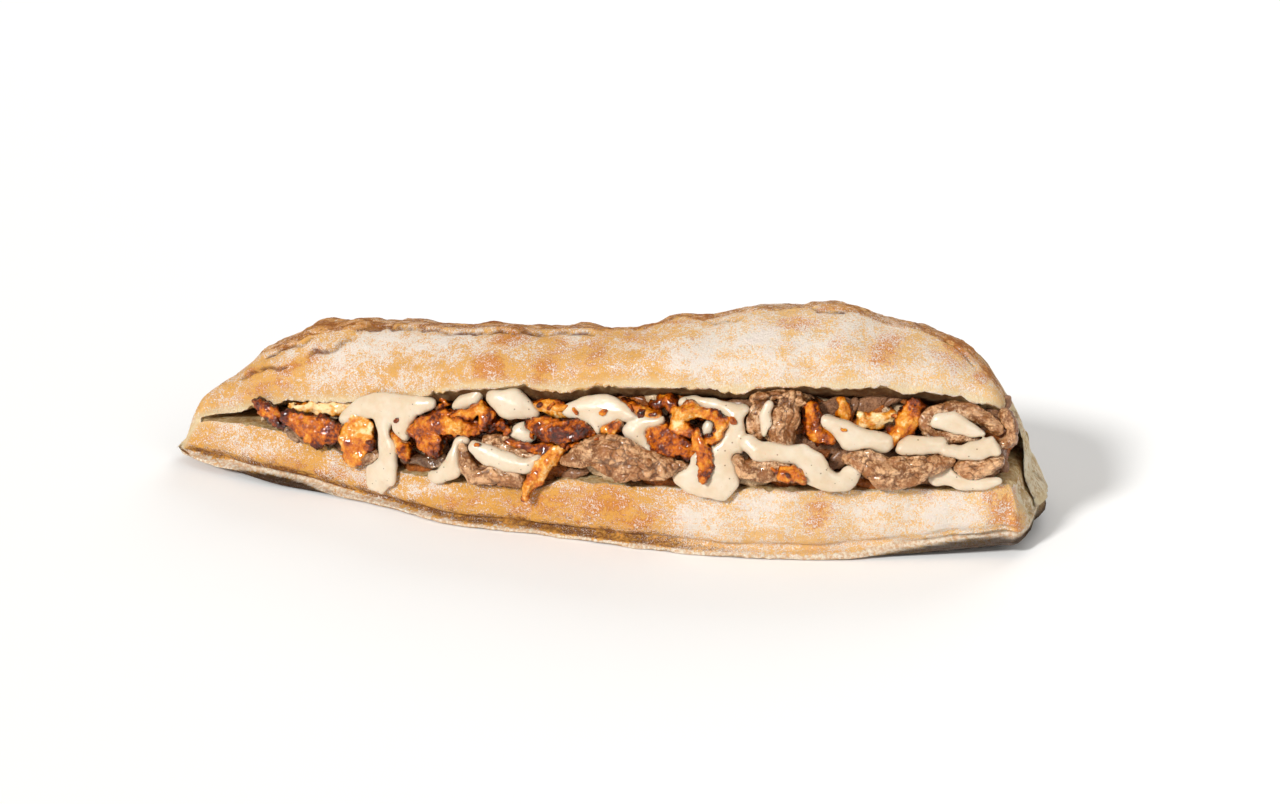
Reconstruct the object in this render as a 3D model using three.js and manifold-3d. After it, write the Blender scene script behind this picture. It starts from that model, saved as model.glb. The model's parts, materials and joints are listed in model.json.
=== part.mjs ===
// A submarine sandwich: a rustic loaf, slit along its front and opened on the crust that is left
// along its back, filled with strips of beef and fried onion and dressed with thick cream sauce.
//
// Millimetres. +X runs from the closed tip of the loaf to its open end, -Y is the mouth, +Z is up,
// and the origin is under the middle of the loaf, on the surface that it lies on.

import * as THREE from "three";
import { mergeVertices } from "three/addons/utils/BufferGeometryUtils.js";
import Module from "manifold-3d";

const wasm = await Module();
wasm.setup();

// Driving dimensions of the loaf. Each profile gives a size at places along X.
const TIP_X = -145; // closed left end
const END_X = 142.5; // open right end
const SLIT_X = -134; // where the slit starts
const HINGE_WALL = 7; // crust and crumb left behind the slit
const LIP_INSET = 2.2; // how far a lip stands behind the rim of the base
const FLANGE = 1.4; // thickness of the flattened rim round the base

const FRONT = [[-145, 1], [-142, -3], [-136, -7], [-122, -11.5], [-106, -17], [-88, -20], [-66, -26], [-40, -36],
  [-10, -38], [20, -42], [50, -43.5], [80, -39.5], [105, -33], [122, -28.5], [134, -25.5], [139, -24], [142.5, -15]];
const BACK = [[-145, 7], [-142, 12], [-136, 18], [-122, 26], [-106, 32], [-88, 36], [-66, 39], [-40, 41],
  [-10, 42], [20, 43], [50, 43.5], [80, 43], [105, 41], [122, 38], [134, 34], [139, 30], [142.5, 22]];
const LIFT = [[-145, 4.6], [-142, 3.9], [-136, 3.4], [-122, 2.2], [-106, 1.2], [-88, 0.4], [-66, 0], [80, 0],
  [105, 1.2], [122, 2.4], [134, 3.6], [139, 4], [142.5, 5.5]];
const LOWER_LIP = [[-145, 5], [-142, 6.6], [-139, 11.2], [-134, 16.8], [-122, 18.8], [-106, 20], [-96, 19.4], [-84, 16],
  [-74, 12.8], [-60, 13.4], [-40, 14.5], [-12, 15], [-2, 19], [20, 20.2], [48, 21.2], [60, 22.8], [80, 22.4],
  [105, 22.5], [122, 22.2], [133, 24], [137, 21.5], [138.4, 16.8], [140, 14.6], [142.5, 9.2]];
const UPPER_LIP = [[-145, 5.6], [-142, 7.4], [-139, 12.2], [-134, 18.2], [-122, 21.4], [-112, 25.5], [-98, 28.6],
  [-81, 31.9], [-66, 34], [-45, 41.5], [-30, 45.8], [-5, 46.8], [20, 51.8], [50, 52.4], [80, 54.4], [106, 52.2],
  [122, 49.6], [131, 46], [134, 39.5], [136, 31.5], [137.2, 25], [138.4, 18], [140, 15.4], [142.5, 10]];
const UPPER_LIP_INSET = [[-145, 3], [-134, 3], [-122, 5], [120, 7.5], [131, 9], [134, 20], [137.5, 32], [142.5, 26]];
const HINGE_Z = [[-145, 5.3], [-142, 7], [-139, 11.4], [-134, 16.2], [-106, 18.5], [-66, 20], [20, 21], [80, 22], [122, 22],
  [134, 21], [137, 20], [138.4, 16.4], [140, 14.4], [142.5, 9.5]];
const CROWN = [[-145, 0.5], [-142, 1.2], [-139, 3.2], [-136, 5.2], [-130, 8.6], [-122, 12.6], [-116, 16.7], [-106, 21.9], [-96, 26.2],
  [-88, 25.8], [-77, 25.5], [-66, 24.7], [-53, 23.8], [-40, 22.2], [-25, 20.8], [-10, 20.8], [0, 22], [12, 21],
  [22, 21.5], [32, 24.9], [41, 25.3], [50, 27.9], [65, 29.5], [80, 29], [92, 25.9], [105, 23], [116, 21],
  [120, 19], [124, 16], [128, 11.5], [131, 7.5], [134, 4], [136, 2.4], [139.5, 1.4], [142.5, 0.8]];
const SLIT_DEPTH = [[-134, 0.06], [-126, 0.4], [-112, 0.8], [-98, 1], [142.5, 1]]; // share of the way to the hinge

const LOAF_STATIONS = 36;
const STEPS = 2; // points on the outline for each point that shapes it

// A smooth curve through pairs of [place, value].
function profile(pairs) {
  const last = pairs.length - 1;
  const slope = pairs.map((_, i) => {
    const [x0, v0] = pairs[Math.max(i - 1, 0)];
    const [x1, v1] = pairs[Math.min(i + 1, last)];
    return (v1 - v0) / (x1 - x0);
  });
  return (x) => {
    if (x <= pairs[0][0]) return pairs[0][1];
    if (x >= pairs[last][0]) return pairs[last][1];
    const i = pairs.findIndex(([at]) => at > x) - 1;
    const [xa, va] = pairs[i];
    const [xb, vb] = pairs[i + 1];
    const h = xb - xa;
    const t = (x - xa) / h;
    const rise = t * t * (3 - 2 * t);
    return va + (vb - va) * rise + h * t * (1 - t) * ((1 - t) * slope[i] - t * slope[i + 1]);
  };
}

const front = profile(FRONT);
const back = profile(BACK);
const lift = profile(LIFT);
const lowerLipZ = profile(LOWER_LIP);
const upperLipZ = profile(UPPER_LIP);
const upperLipInset = profile(UPPER_LIP_INSET);
const hingeZ = profile(HINGE_Z);
const crown = profile(CROWN);
const slitDepth = profile(SLIT_DEPTH);

const mix = (a, b, t) => a.map((v, i) => v + (b[i] - v) * t);
const clamp = (v, low, high) => Math.min(Math.max(v, low), high);
const smooth = (v) => v * v * (3 - 2 * v);

// The lips and the hinge of the slit at a place along the loaf, as [y, z].
const lowerLip = (x) => [front(x) + LIP_INSET, lowerLipZ(x)];
const upperLip = (x) => [front(x) + upperLipInset(x), upperLipZ(x)];
const hinge = (x) => [back(x) - HINGE_WALL, hingeZ(x)];

// Gentle lumps of a hand-shaped loaf, in mm along the outward direction.
function lump(x, angle) {
  return 0.55 * Math.sin(0.11 * x + 2 * angle) + 0.45 * Math.sin(0.23 * x - 3 * angle + 1.3) +
    0.3 * Math.sin(0.41 * x + angle * 5 + 0.6);
}

// The points that shape the loaf's outline, mouth filled in, from the lower lip down and round.
function outlineKeys(x) {
  const f = front(x);
  const b = back(x);
  const base = lift(x);
  const lip = lowerLip(x);
  const upper = upperLip(x);
  const pivot = hinge(x);
  const low = lip[1] - base;
  const rear = pivot[1] - base;
  const along = [pivot[0] - upper[0], pivot[1] - upper[1]];
  const length = Math.hypot(...along);
  const thick = crown(x);
  const rim = Math.min(1, low / 12);
  const crust = (s, n) => [
    upper[0] + along[0] * s - (along[1] / length) * thick * n,
    upper[1] + along[1] * s + (along[0] / length) * thick * n,
  ];
  return [
    lip,
    [f + 1.1, base + 0.74 * low],
    [f + 0.9, base + 0.48 * low],
    [f + 1.9, base + 0.27 * low],
    [f + 3.4 * rim, base + 0.16 * low],
    [f + 0.2, base + FLANGE * rim],
    [f + 0.5, base + 0.1],
    [f + 7 * rim, base],
    [mix([f], [b], 0.5)[0], base],
    [b - 10 * rim, base],
    [b - 3 * rim, base + 0.07 * rear],
    [b - 0.3, base + 0.4 * rear],
    [b, base + 0.75 * rear],
    [b - 1.9 * rim, pivot[1] + 0.08 * thick],
    crust(1.07, 0.32),
    crust(0.97, 0.62),
    crust(0.8, 0.86),
    crust(0.58, 0.98),
    crust(0.38, 1.01),
    crust(0.2, 0.97),
    crust(0.1, 0.86),
    crust(0.015, 0.6),
    crust(-0.03, 0.32),
    upper,
    mix(upper, lip, 0.33),
    mix(upper, lip, 0.67),
  ];
}

// A closed smooth outline through the points, with a few steps between each two.
function rounded(keys, steps) {
  const n = keys.length;
  const made = [];
  for (let i = 0; i < n; i++) {
    const [p, q, r, s] = [-1, 0, 1, 2].map((k) => keys[(i + k + n) % n]);
    for (let j = 0; j < steps; j++) {
      const t = j / steps;
      made.push(q.map((_, c) => 0.5 * (2 * q[c] + (r[c] - p[c]) * t +
        (2 * p[c] - 5 * q[c] + 4 * r[c] - s[c]) * t * t + (3 * q[c] - p[c] - 3 * r[c] + s[c]) * t * t * t)));
    }
  }
  return made;
}

// How far the blunt right end stands out or in, by its place across the end.
function endRelief(x, y, z) {
  const near = smooth(clamp((x - 118) / 22, 0, 1));
  const lobe = 3.2 * Math.exp(-(((y - 6) / 12) ** 2) - ((z - 9) / 8) ** 2);
  const dent = -2.6 * Math.exp(-(((y + 9) / 6) ** 2) - ((z - 14) / 12) ** 2);
  return near * (lobe + dent);
}

// A closed solid skinned over rings of points, each ring an array of [x, y, z].
function skin(rings) {
  const count = rings[0].length;
  const points = rings.flat();
  const faces = [];
  for (let i = 0; i + 1 < rings.length; i++) {
    for (let j = 0; j < count; j++) {
      const a = i * count + j;
      const b = i * count + ((j + 1) % count);
      faces.push([a, b, b + count], [a, b + count, a + count]);
    }
  }
  for (const [ring, start] of [[rings[0], 0], [rings.at(-1), (rings.length - 1) * count]]) {
    const middle = [0, 1, 2].map((c) => ring.reduce((sum, p) => sum + p[c], 0) / count);
    const centre = points.push(middle) - 1;
    for (let j = 0; j < count; j++) {
      const a = start + j;
      const b = start + ((j + 1) % count);
      faces.push(start ? [a, b, centre] : [b, a, centre]);
    }
  }
  return solid(points, faces);
}

// A manifold solid from points and faces. Faces that have lost a side to a merge are dropped.
function solid(points, faces) {
  const raw = new THREE.BufferGeometry()
    .setAttribute("position", new THREE.BufferAttribute(new Float32Array(points.flat()), 3))
    .setIndex(faces.flat());
  const merged = mergeVertices(raw, 1e-3);
  const index = merged.index.array;
  const kept = [];
  for (let i = 0; i < index.length; i += 3) {
    const [a, b, c] = index.subarray(i, i + 3);
    if (a !== b && b !== c && c !== a) kept.push(a, b, c);
  }
  const made = new wasm.Manifold(new wasm.Mesh({
    numProp: 3,
    vertProperties: merged.attributes.position.array,
    triVerts: new Uint32Array(kept),
  }));
  return made.volume() > 0 ? made : solid(points, faces.map(([a, b, c]) => [a, c, b]));
}

// Places along X, closer together towards both ends.
function stations(from, to, count, ease) {
  return Array.from({ length: count + 1 }, (_, i) => {
    const t = i / count;
    const eased = t + (ease * Math.sin(2 * Math.PI * t)) / -(2 * Math.PI);
    return from + (to - from) * eased;
  });
}

// The loaf as if it had not been slit. Grown by extra, it is what the filling must stay clear of.
function loafWithoutSlit(extra) {
  return skin(stations(TIP_X, END_X, LOAF_STATIONS, 0.8).map((x) => {
    const middle = [(front(x) + back(x)) / 2, (lift(x) + upperLipZ(x)) / 2];
    const fade = smooth(clamp((x - TIP_X) / 14, 0, 1)) * smooth(clamp((END_X - x) / 14, 0, 1));
    const outline = rounded(outlineKeys(x), STEPS);
    return outline.map(([y, z], i) => {
      const angle = Math.atan2(z - middle[1], y - middle[0]);
      const above = smooth(clamp((z - lift(x) - 1.5) / 5, 0, 1));
      const out = lump(x, angle) * fade * above;
      const [before, after] = [outline.at(i - 1), outline[(i + 1) % outline.length]];
      const edge = Math.hypot(after[0] - before[0], after[1] - before[1]);
      const grow = [((before[1] - after[1]) / edge) * extra, ((after[0] - before[0]) / edge) * extra];
      return [x + endRelief(x, y, z), y + Math.cos(angle) * out - grow[0], z + Math.sin(angle) * out - grow[1]];
    });
  }));
}

// The space between the two cut faces, open at the front and at the right end.
function slit(extra) {
  const reach = 14;
  const low = (x) => [[lowerLip(x)[0], lowerLip(x)[1] - extra], [hinge(x)[0], hinge(x)[1] - 0.7 - extra]];
  const high = (x) => [[upperLip(x)[0], upperLip(x)[1] + extra], [hinge(x)[0], hinge(x)[1] + 0.7 + extra]];
  const line = ([lip, inner], depth, count) => {
    const span = Math.hypot(inner[0] - lip[0], inner[1] - lip[1]);
    const out = mix(lip, inner, -reach / span);
    return [out, ...Array.from({ length: count + 1 }, (_, i) => mix(lip, inner, (depth * i) / count))];
  };
  return skin(stations(SLIT_X, END_X + 12, 26, 0.3).map((x) => {
    const depth = slitDepth(x);
    const gap = clamp((x - SLIT_X) / 20, 0, 1);
    const ring = [...line(low(x), depth, 3), ...line(high(x), depth, 3).reverse()];
    return ring.map(([y, z]) => [x, y, z + 0.001 * gap]);
  }));
}

const BEEF = {
  folded: [
    [[-2, 25, 2, 3, 3], [3, 27, 2.5, 6.5, 5], [8, 29, 3.5, 10, 7], [12.5, 29.5, 4.5, 12.5, 8],
      [18.5, 28, 5, 13.5, 9], [25, 27, 5, 10, 8], [31, 27, 4, 8.5, 6], [37, 28, 2.5, 2.5, 3]],
  ],
  low_right: [
    [[86, 32.5, 3, 4, 5], [91, 31.5, 4.5, 7.5, 7], [96.5, 28, 4.5, 11, 7], [104, 28, 4.5, 9.5, 7],
      [110.5, 30, 4.5, 7, 7], [116.5, 31, 3, 3, 4]],
    [[80, 35.5, 3.5, 3.5, 5], [81.5, 32.5, 3.5, 5.5, 5], [83, 29, 3.5, 3.5, 5]],
  ],
  low_left: [
    [[-35, 25.5, 3, 3, 5], [-34, 21, 3, 5, 5], [-31, 18, 3, 6.5, 5], [-24, 18, 3, 6.5, 5],
      [-17.5, 17.5, 3, 5.5, 5], [-15, 17, 3, 3, 3]],
  ],
  low_middle: [
    [[53.5, 31.5, 3, 3, 6], [55.5, 28.5, 3, 6.5, 6], [61, 28.5, 3, 7.5, 6], [67, 28.5, 3, 6.5, 6],
      [71, 27, 3, 3.5, 4]],
  ],
  low_end: [
    [[119.5, 29, 2.5, 4.5, 6], [124, 28.5, 2.5, 6.5, 6], [128, 29, 2.5, 5.5, 6], [131.5, 31, 2.5, 3, 6]],
  ],
  shredded: [
    [[57.5, 49.5, 0.5, 4, 7], [63.5, 51, 0.5, 5, 7], [69, 50, 0.5, 6, 7], [73, 48.5, 0.5, 3, 7]],
    [[67.5, 48, 1, 7.5, 8], [66.5, 44, 1, 10.5, 8], [65, 40, 1, 12, 8], [67, 36.5, 1, 7, 8]],
    [[61.5, 48.5, 0.5, 5.5, 5], [58, 44, 0.5, 7, 5], [59, 39.5, 0.5, 6.5, 5]],
  ],
  slice_end: [
    [[107.5, 43, 1.5, 4, 6], [111.5, 44.5, 1.5, 6.5, 6], [117, 46, 1.5, 5.5, 6],
      [122.5, 45, 1.5, 5.5, 6], [127, 43, 1.5, 5, 6], [130.5, 40, 1.5, 4, 6]],
    [[108, 42, 2, 3.5, 4], [110.5, 38, 2, 4, 4], [116.5, 38, 2, 4, 4], [123.5, 37.5, 2, 3, 4]],
  ],
  nugget_end: [
    [[132.5, 44.5, 1, 4.5, 6], [134.5, 40.5, 1, 4, 6]],
    [[135, 40, 1, 3, 5], [134.5, 37, 1, 5, 5], [131.5, 35.5, 1, 3, 5]],
  ],
  lump_left: [
    [[-27.5, 28, 1.5, 5, 5], [-22.5, 27.5, 1.5, 6.5, 5], [-17, 26, 1.5, 5.5, 5],
      [-11.5, 24.5, 1.5, 2, 5]],
  ],
  scrap_left: [
    [[-71.5, 14, 2, 2, 3.5], [-69, 15.5, 2, 3.5, 3.5], [-66.5, 17, 2, 3, 3.5]],
  ],
  dark_left: [
    [[-57, 17.5, 0.5, 1.5, 4], [-51, 19, 0.5, 3, 4], [-45, 19.5, 0.5, 4.5, 4], [-42, 20.5, 0.5, 3.5, 4]],
  ],
  scrap_tip: [
    [[-99.5, 20.5, 0.5, 2.5, 3], [-96.5, 18.5, 0.5, 3, 3], [-93, 17.5, 0.5, 2, 3]],
  ],
};

const ONION = {
  hanging_left: [
    [[-3.5, 28, 3, 4, 3.5], [-6.5, 24, 4.5, 5, 3.5], [-10.5, 19, 4.5, 5.5, 3.5],
      [-13, 15.5, 4.5, 3.5, 3.5], [-13.5, 13, 4.5, 2, 3.5]],
  ],
  hanging_right: [
    [[41, 37, 4.5, 4, 3.5], [43, 33.5, 5, 4.5, 3.5], [44, 29, 5, 5, 3.5], [44, 24.5, 5, 3, 3.5]],
  ],
  scrap_middle: [
    [[66.5, 27, 6, 3, 3], [70, 28.5, 6, 4.5, 3], [73, 26, 6, 2, 3]],
  ],
  ring: [
    [[38.5, 38, 3.5, 4, 5], [34.5, 39, 3.5, 5, 5], [34.5, 43, 3.5, 5, 5], [39.5, 44.5, 3.5, 4.5, 5],
      [45.5, 44, 3.5, 4, 5], [48.5, 41, 3.5, 3.5, 5], [47, 37, 3.5, 2.5, 5], [42.5, 35.5, 3.5, 3, 5]],
  ],
  leaf: [
    [[25.5, 37, 2, 4, 3], [29, 35.5, 2.5, 10.5, 5], [33.5, 34, 2.5, 8.5, 5], [39, 33, 2, 4, 3]],
  ],
  curled: [
    [[-14, 34.5, 2, 4, 4], [-8.5, 33.5, 3, 8.5, 7], [-2.5, 33.5, 3, 8.5, 7], [3, 35.5, 3, 7, 7],
      [7.5, 34.5, 2, 3.5, 4]],
  ],
  burnt: [
    [[-21, 28.5, 2, 2, 3.5], [-16.5, 27.5, 2, 2.5, 3.5], [-11, 27, 2, 4, 3.5], [-6, 28, 2, 4, 3.5],
      [-1, 29.5, 2, 3, 3.5], [6, 31, 2, 1.5, 3.5]],
  ],
  wide: [
    [[-53, 27.5, 2, 4.5, 4], [-47.5, 30.5, 2.5, 7, 6], [-41.5, 32, 2.5, 9, 6],
      [-36, 32.5, 2.5, 8.5, 6], [-31.5, 32, 2, 5.5, 4]],
    [[-47, 29, 2, 8.5, 5], [-46, 25, 2, 10, 5], [-44.5, 22.5, 2, 4.5, 5]],
  ],
  crisp: [
    [[-38.5, 34.5, 3, 3, 4], [-34, 35.5, 3, 3.5, 4], [-30, 38, 3, 4.5, 4], [-27.5, 36, 3, 5, 4],
      [-29, 32, 3, 3, 4]],
  ],
  dark_scrap: [
    [[-29.5, 30.5, 1, 4, 4], [-26, 33, 1, 4, 4], [-23, 33.5, 1, 4, 4], [-21.5, 32, 1, 2.5, 4]],
  ],
  lobe_left: [
    [[-100, 24.5, 2, 4.5, 5], [-94, 23, 2, 7.5, 5], [-88.5, 21.5, 2, 10, 5], [-83.5, 21.5, 2, 8, 5],
      [-80.5, 22.5, 2, 4.5, 5]],
  ],
  tip: [
    [[-111.5, 28, 0.5, 2, 5], [-108, 26.5, 0.5, 5.5, 5], [-105, 24, 0.5, 5, 5], [-102, 22, 0.5, 3.5, 5]],
  ],
  pale: [
    [[-99.5, 28.5, -1, 3.5, 4], [-92.5, 28.5, -1, 5, 4], [-84.5, 29, -1, 5, 4], [-78.5, 31, -1, 2.5, 4]],
  ],
  flat: [
    [[-74.5, 28.5, 2, 5, 3], [-73.5, 24.5, 2.5, 12.5, 5], [-73.5, 19, 2.5, 12.5, 5],
      [-75.5, 14.5, 2, 7, 3]],
  ],
  sliver: [
    [[-60.5, 33.5, 1.5, 2, 3.5], [-62, 29, 1.5, 3, 3.5], [-63, 25.5, 1.5, 3, 3.5],
      [-60, 23.5, 1.5, 3.5, 3.5], [-56, 21.5, 1.5, 5.5, 3.5], [-55, 19, 1.5, 4, 3.5]],
  ],
  loop: [
    [[-53.5, 38, -0.5, 3, 3], [-49.5, 40, -0.5, 3, 3], [-45, 39.5, -0.5, 3, 3],
      [-42.5, 37.5, -0.5, 2.5, 3], [-46, 35.5, -0.5, 2.5, 3]],
  ],
  top_middle: [
    [[-13, 40, 1, 3, 4], [-8.5, 40, 1, 5, 4], [-4, 39.5, 1, 5, 4], [0, 39.5, 1, 3, 4]],
  ],
  scrap_centre: [
    [[11.5, 36, 3, 3, 3.5], [13.5, 36.5, 3, 4.5, 3.5], [16, 38.5, 3, 2.5, 3.5]],
  ],
  back_strip: [
    [[15, 44, 0.5, 3, 4], [20, 43, 0.5, 5, 4], [24, 42, 0.5, 4, 4], [28.5, 41.5, 0.5, 2, 4]],
  ],
  curl_back: [
    [[26, 45, -0.5, 3, 4], [30, 46.5, -0.5, 4, 4], [32.5, 44.5, -0.5, 3.5, 4]],
  ],
  amber: [
    [[74.5, 47.5, 1.5, 4.5, 6], [75, 44, 1.5, 6, 6], [77, 40, 1.5, 8, 6], [80.5, 38, 1.5, 4, 6]],
  ],
  back_bit: [
    [[83.5, 48.5, -1, 2, 3], [84, 46, -1, 2.5, 3], [85, 43.5, -1, 2.5, 3]],
  ],
  translucent: [
    [[89.5, 45, -1, 2.5, 3], [90.5, 42.5, -1, 4.5, 3], [95, 43, -1, 4, 3], [99, 44.5, -1, 3, 3]],
  ],
  orange_strip: [
    [[105, 47.5, 2, 5, 4], [103, 43, 2, 6, 4], [101, 40, 2, 5.5, 4], [99, 36.5, 2, 2.5, 4]],
  ],
};

const SAUCE = {
  ladle: [
    [[-79.5, 26, 2, 3, 4.5], [-73, 30.5, 3, 7, 4.5], [-65.5, 33, 3, 10, 4.5], [-58, 35.5, 3, 7, 4.5],
      [-50.5, 36, 3, 7, 4.5], [-47, 37, 2, 4, 3]],
    [[-64, 31.5, 3, 9, 4], [-63.5, 26, 3, 5.5, 4], [-62, 21, 2.5, 7.5, 4], [-61.5, 16, 2.5, 8.5, 3],
      [-65, 11.5, 2, 14.5, 2.6], [-66, 9, 1.5, 11.5, 2]],
    [[-53.5, 35, 3, 7.5, 4.5], [-57, 31, 3, 9, 4.5], [-56.5, 27.5, 3, 8.5, 4.5],
      [-55.5, 25, 2, 3.5, 4.5]],
  ],
  string: [
    [[-39.5, 37, 1, 3, 4], [-37, 39, 1, 5.5, 4], [-33, 40.5, 1, 6, 4], [-31, 43.5, 1, 3, 4],
      [-30.5, 46, -0.5, 2, 3]],
  ],
  dollop: [
    [[-25.5, 41.5, 3, 7.5, 6], [-22, 40.5, 3, 12, 6], [-17.5, 39.5, 3, 9, 6], [-13, 38, 2.5, 4.5, 4]],
  ],
  pocket: [
    [[-21.5, 29, 1, 2.5, 3], [-18, 31, 1, 6.5, 3], [-15, 32, 1, 8.5, 3]],
  ],
  run_left: [
    [[-35.5, 27, 2.5, 6, 3.5], [-37, 22.5, 3, 7, 3.5], [-38, 18.5, 3, 7.5, 3],
      [-42.5, 15.5, 2.5, 5, 2.5], [-45.5, 15, 2, 4, 2]],
  ],
  over_beef: [
    [[-31.5, 26.5, 5, 4.5, 3.5], [-26, 24, 5, 7.5, 3.5], [-20, 22.5, 5, 7, 3.5], [-14, 22, 5, 6, 3.5],
      [-9.5, 24, 4, 4, 3.5]],
  ],
  crest: [
    [[-1.5, 40, 2.5, 4.5, 4.5], [4.5, 41.5, 2.5, 8, 4.5], [11, 42, 2.5, 10.5, 4.5],
      [17, 42, 2.5, 6.5, 4.5], [21, 41, 2.5, 2, 4.5]],
    [[7.5, 39.5, 2.5, 7.5, 4], [9, 35.5, 2.5, 3.5, 4]],
  ],
  centre: [
    [[29, 41, 2, 3, 3.5], [24, 39.5, 2, 6, 3.5], [20, 36.5, 2, 10.5, 3.5], [22.5, 33, 2, 9, 3.5],
      [26.5, 31, 2, 4.5, 3.5]],
  ],
  pool_middle: [
    [[35.5, 46.5, 2, 4.5, 4], [40.5, 47, 2, 4, 4], [46.5, 46.5, 2, 5, 4], [51.5, 45, 2, 6, 4],
      [55, 45.5, 2, 3.5, 4]],
    [[52, 45, 2.5, 6.5, 4], [51.5, 40, 2.5, 8, 4], [50, 34.5, 2.5, 12.5, 4], [47, 29, 2.5, 17.5, 4],
      [46.5, 24.5, 2.5, 17, 3]],
    [[34.5, 27.5, 2, 5, 3], [39, 24.5, 2, 9, 3], [46, 24.5, 2, 8, 3]],
  ],
  in_ring: [
    [[42.5, 38, 2, 3.5, 3], [44, 40, 2, 5, 3], [45, 42.5, 2, 3.5, 3]],
  ],
  ribbon: [
    [[55.5, 37, 4, 6, 4], [59, 34, 5, 6.5, 4], [66, 34, 5, 5.5, 4], [72, 33.5, 5, 8, 4],
      [75.5, 30, 5, 11.5, 4], [80.5, 26.5, 4.5, 9, 3.5], [86, 26, 4, 7.5, 3], [88.5, 29, 4, 6, 3]],
  ],
  finger: [
    [[78.5, 43.5, 3.5, 6, 5], [82.5, 42, 3.5, 7.5, 5], [86, 38.5, 3.5, 10, 5], [91.5, 37, 3.5, 9.5, 5],
      [97.5, 37, 3.5, 6.5, 5]],
  ],
  round_end: [
    [[100.5, 35, 4.5, 5.5, 4.5], [104.5, 35.5, 4.5, 8.5, 4.5], [109.5, 36, 4.5, 7.5, 4.5],
      [113, 36, 4.5, 5, 4.5]],
  ],
  on_slice: [
    [[111.5, 43, 4.5, 6, 4], [115.5, 42.5, 4.5, 9, 4], [121, 40.5, 4.5, 6.5, 4], [126, 39, 4.5, 3, 4]],
  ],
  hook_end: [
    [[113.5, 34.5, 5, 5, 4.5], [119, 33.5, 5, 6, 4.5], [124.5, 34, 5, 6.5, 4.5],
      [128.5, 36, 5, 6.5, 4.5], [130.5, 33.5, 5, 4.5, 4.5]],
  ],
  pool_end: [
    [[112, 25.5, 2, 4.5, 3], [117, 27, 2, 9, 3], [122, 25, 2, 7.5, 3], [127, 24, 2, 4.5, 3],
      [132, 25, 2, 2, 3]],
  ],
  on_shreds: [
    [[62, 48, 4, 4.5, 3], [60.5, 45.5, 4, 4.5, 3], [62, 42, 4, 6, 3], [61, 39, 4, 3.5, 3]],
  ],
};
const FACE_SLOPE = 0.3; // how far the heap leans back for each mm that it rises above the lower lip
const GAP = 0.45; // clear space left between neighbouring pieces
const RING_POINTS = [[0, 5], [6, 6], [13, 8]]; // points round a piece, by how wide it is at least
const END_CAP = 0.34; // roundness of a piece's end, as a share of its width there

// The slanting front of the heap, which the pieces lie in: a point and its outward direction.
const faceY = (x, z) => front(x) + LIP_INSET + FACE_SLOPE * (z - lowerLipZ(x));
const faceNormal = (x) => new THREE.Vector3((front(x + 1) - front(x - 1)) / 2, -1, FACE_SLOPE).normalize();
const onFace = ([x, z, out]) => new THREE.Vector3(x, faceY(x, z), z).addScaledVector(faceNormal(x), out);

// A curve through rows of values, with a few steps from each row to the next.
function followed(rows, steps) {
  const at = (i) => rows[clamp(i, 0, rows.length - 1)];
  const made = [];
  for (let i = 0; i + 1 < rows.length; i++) {
    for (let j = 0; j < steps; j++) {
      const t = j / steps;
      made.push(rows[i].map((_, c) => {
        const [p, q, r, s] = [at(i - 1)[c], at(i)[c], at(i + 1)[c], at(i + 2)[c]];
        return 0.5 * (2 * q + (r - p) * t + (2 * p - 5 * q + 4 * r - s) * t * t + (3 * q - p - 3 * r + s) * t ** 3);
      }));
    }
  }
  return [...made, rows.at(-1)];
}

// A lumpy flattened strip along one path. Each row is [x, z, out, width, thickness].
function strip(path, { extra, rough, seed }) {
  const rows = followed(path, path.length > 3 ? 1 : 2);
  const widest = Math.max(...path.map((row) => row[3]));
  const around = RING_POINTS.findLast(([from]) => widest >= from)[1];
  const centres = rows.map(onFace);
  const rings = rows.map(([x, , , width, thick], i) => {
    const ahead = centres[Math.min(i + 1, rows.length - 1)];
    const along = ahead.clone().sub(centres[Math.max(i - 1, 0)]).normalize();
    const side = new THREE.Vector3().crossVectors(along, faceNormal(x)).normalize();
    const out = new THREE.Vector3().crossVectors(side, along);
    return { centre: centres[i], along, side, out, wide: width / 2 + extra, thick: thick / 2 + extra, turn: i };
  });
  const capped = (ring, way) => ({
    ...ring,
    centre: ring.centre.clone().addScaledVector(ring.along, way * (END_CAP * 2 * ring.wide + extra / 2)),
    wide: 0.62 * ring.wide,
    thick: 0.62 * ring.thick,
    turn: ring.turn + way,
  });
  return skin([capped(rings[0], -1), ...rings, capped(rings.at(-1), 1)].map((ring) =>
    Array.from({ length: around }, (_, j) => {
      const angle = (2 * Math.PI * (j + 0.5)) / around;
      const swell = 1 + rough * Math.sin(2.1 * ring.turn + 1.7 * j + seed) + 0.5 * rough * Math.sin(3.3 * j + seed * 2);
      return ring.centre.clone()
        .addScaledVector(ring.side, Math.cos(angle) * ring.wide * swell)
        .addScaledVector(ring.out, Math.sin(angle) * ring.thick * swell)
        .toArray();
    })));
}

const piece = (paths, shape) => paths.map((path) => strip(path, shape)).reduce((all, one) => all.add(one));
const FINEST = 0.27; // detail smaller than this is left out

function largest(made) {
  return made.simplify(FINEST).decompose().reduce((best, one) => (one.volume() > best.volume() ? one : best));
}

// The heap inside the loaf, from the slit's hinge to a little behind the pieces at the front.
const HEAP_FROM = -106;
const HEAP_TO = 133;
const HEAP_SET_BACK = 5.2;
const CUT_GAP = 0.8;
const DARK_GAP = [[-106, 1.2], [-60, 2], [-40, 3.5], [-16, 7], [30, 7.5], [44, 4.5], [62, 3], [90, 5], [133, 5.5]];
const darkGap = profile(DARK_GAP);

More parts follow.
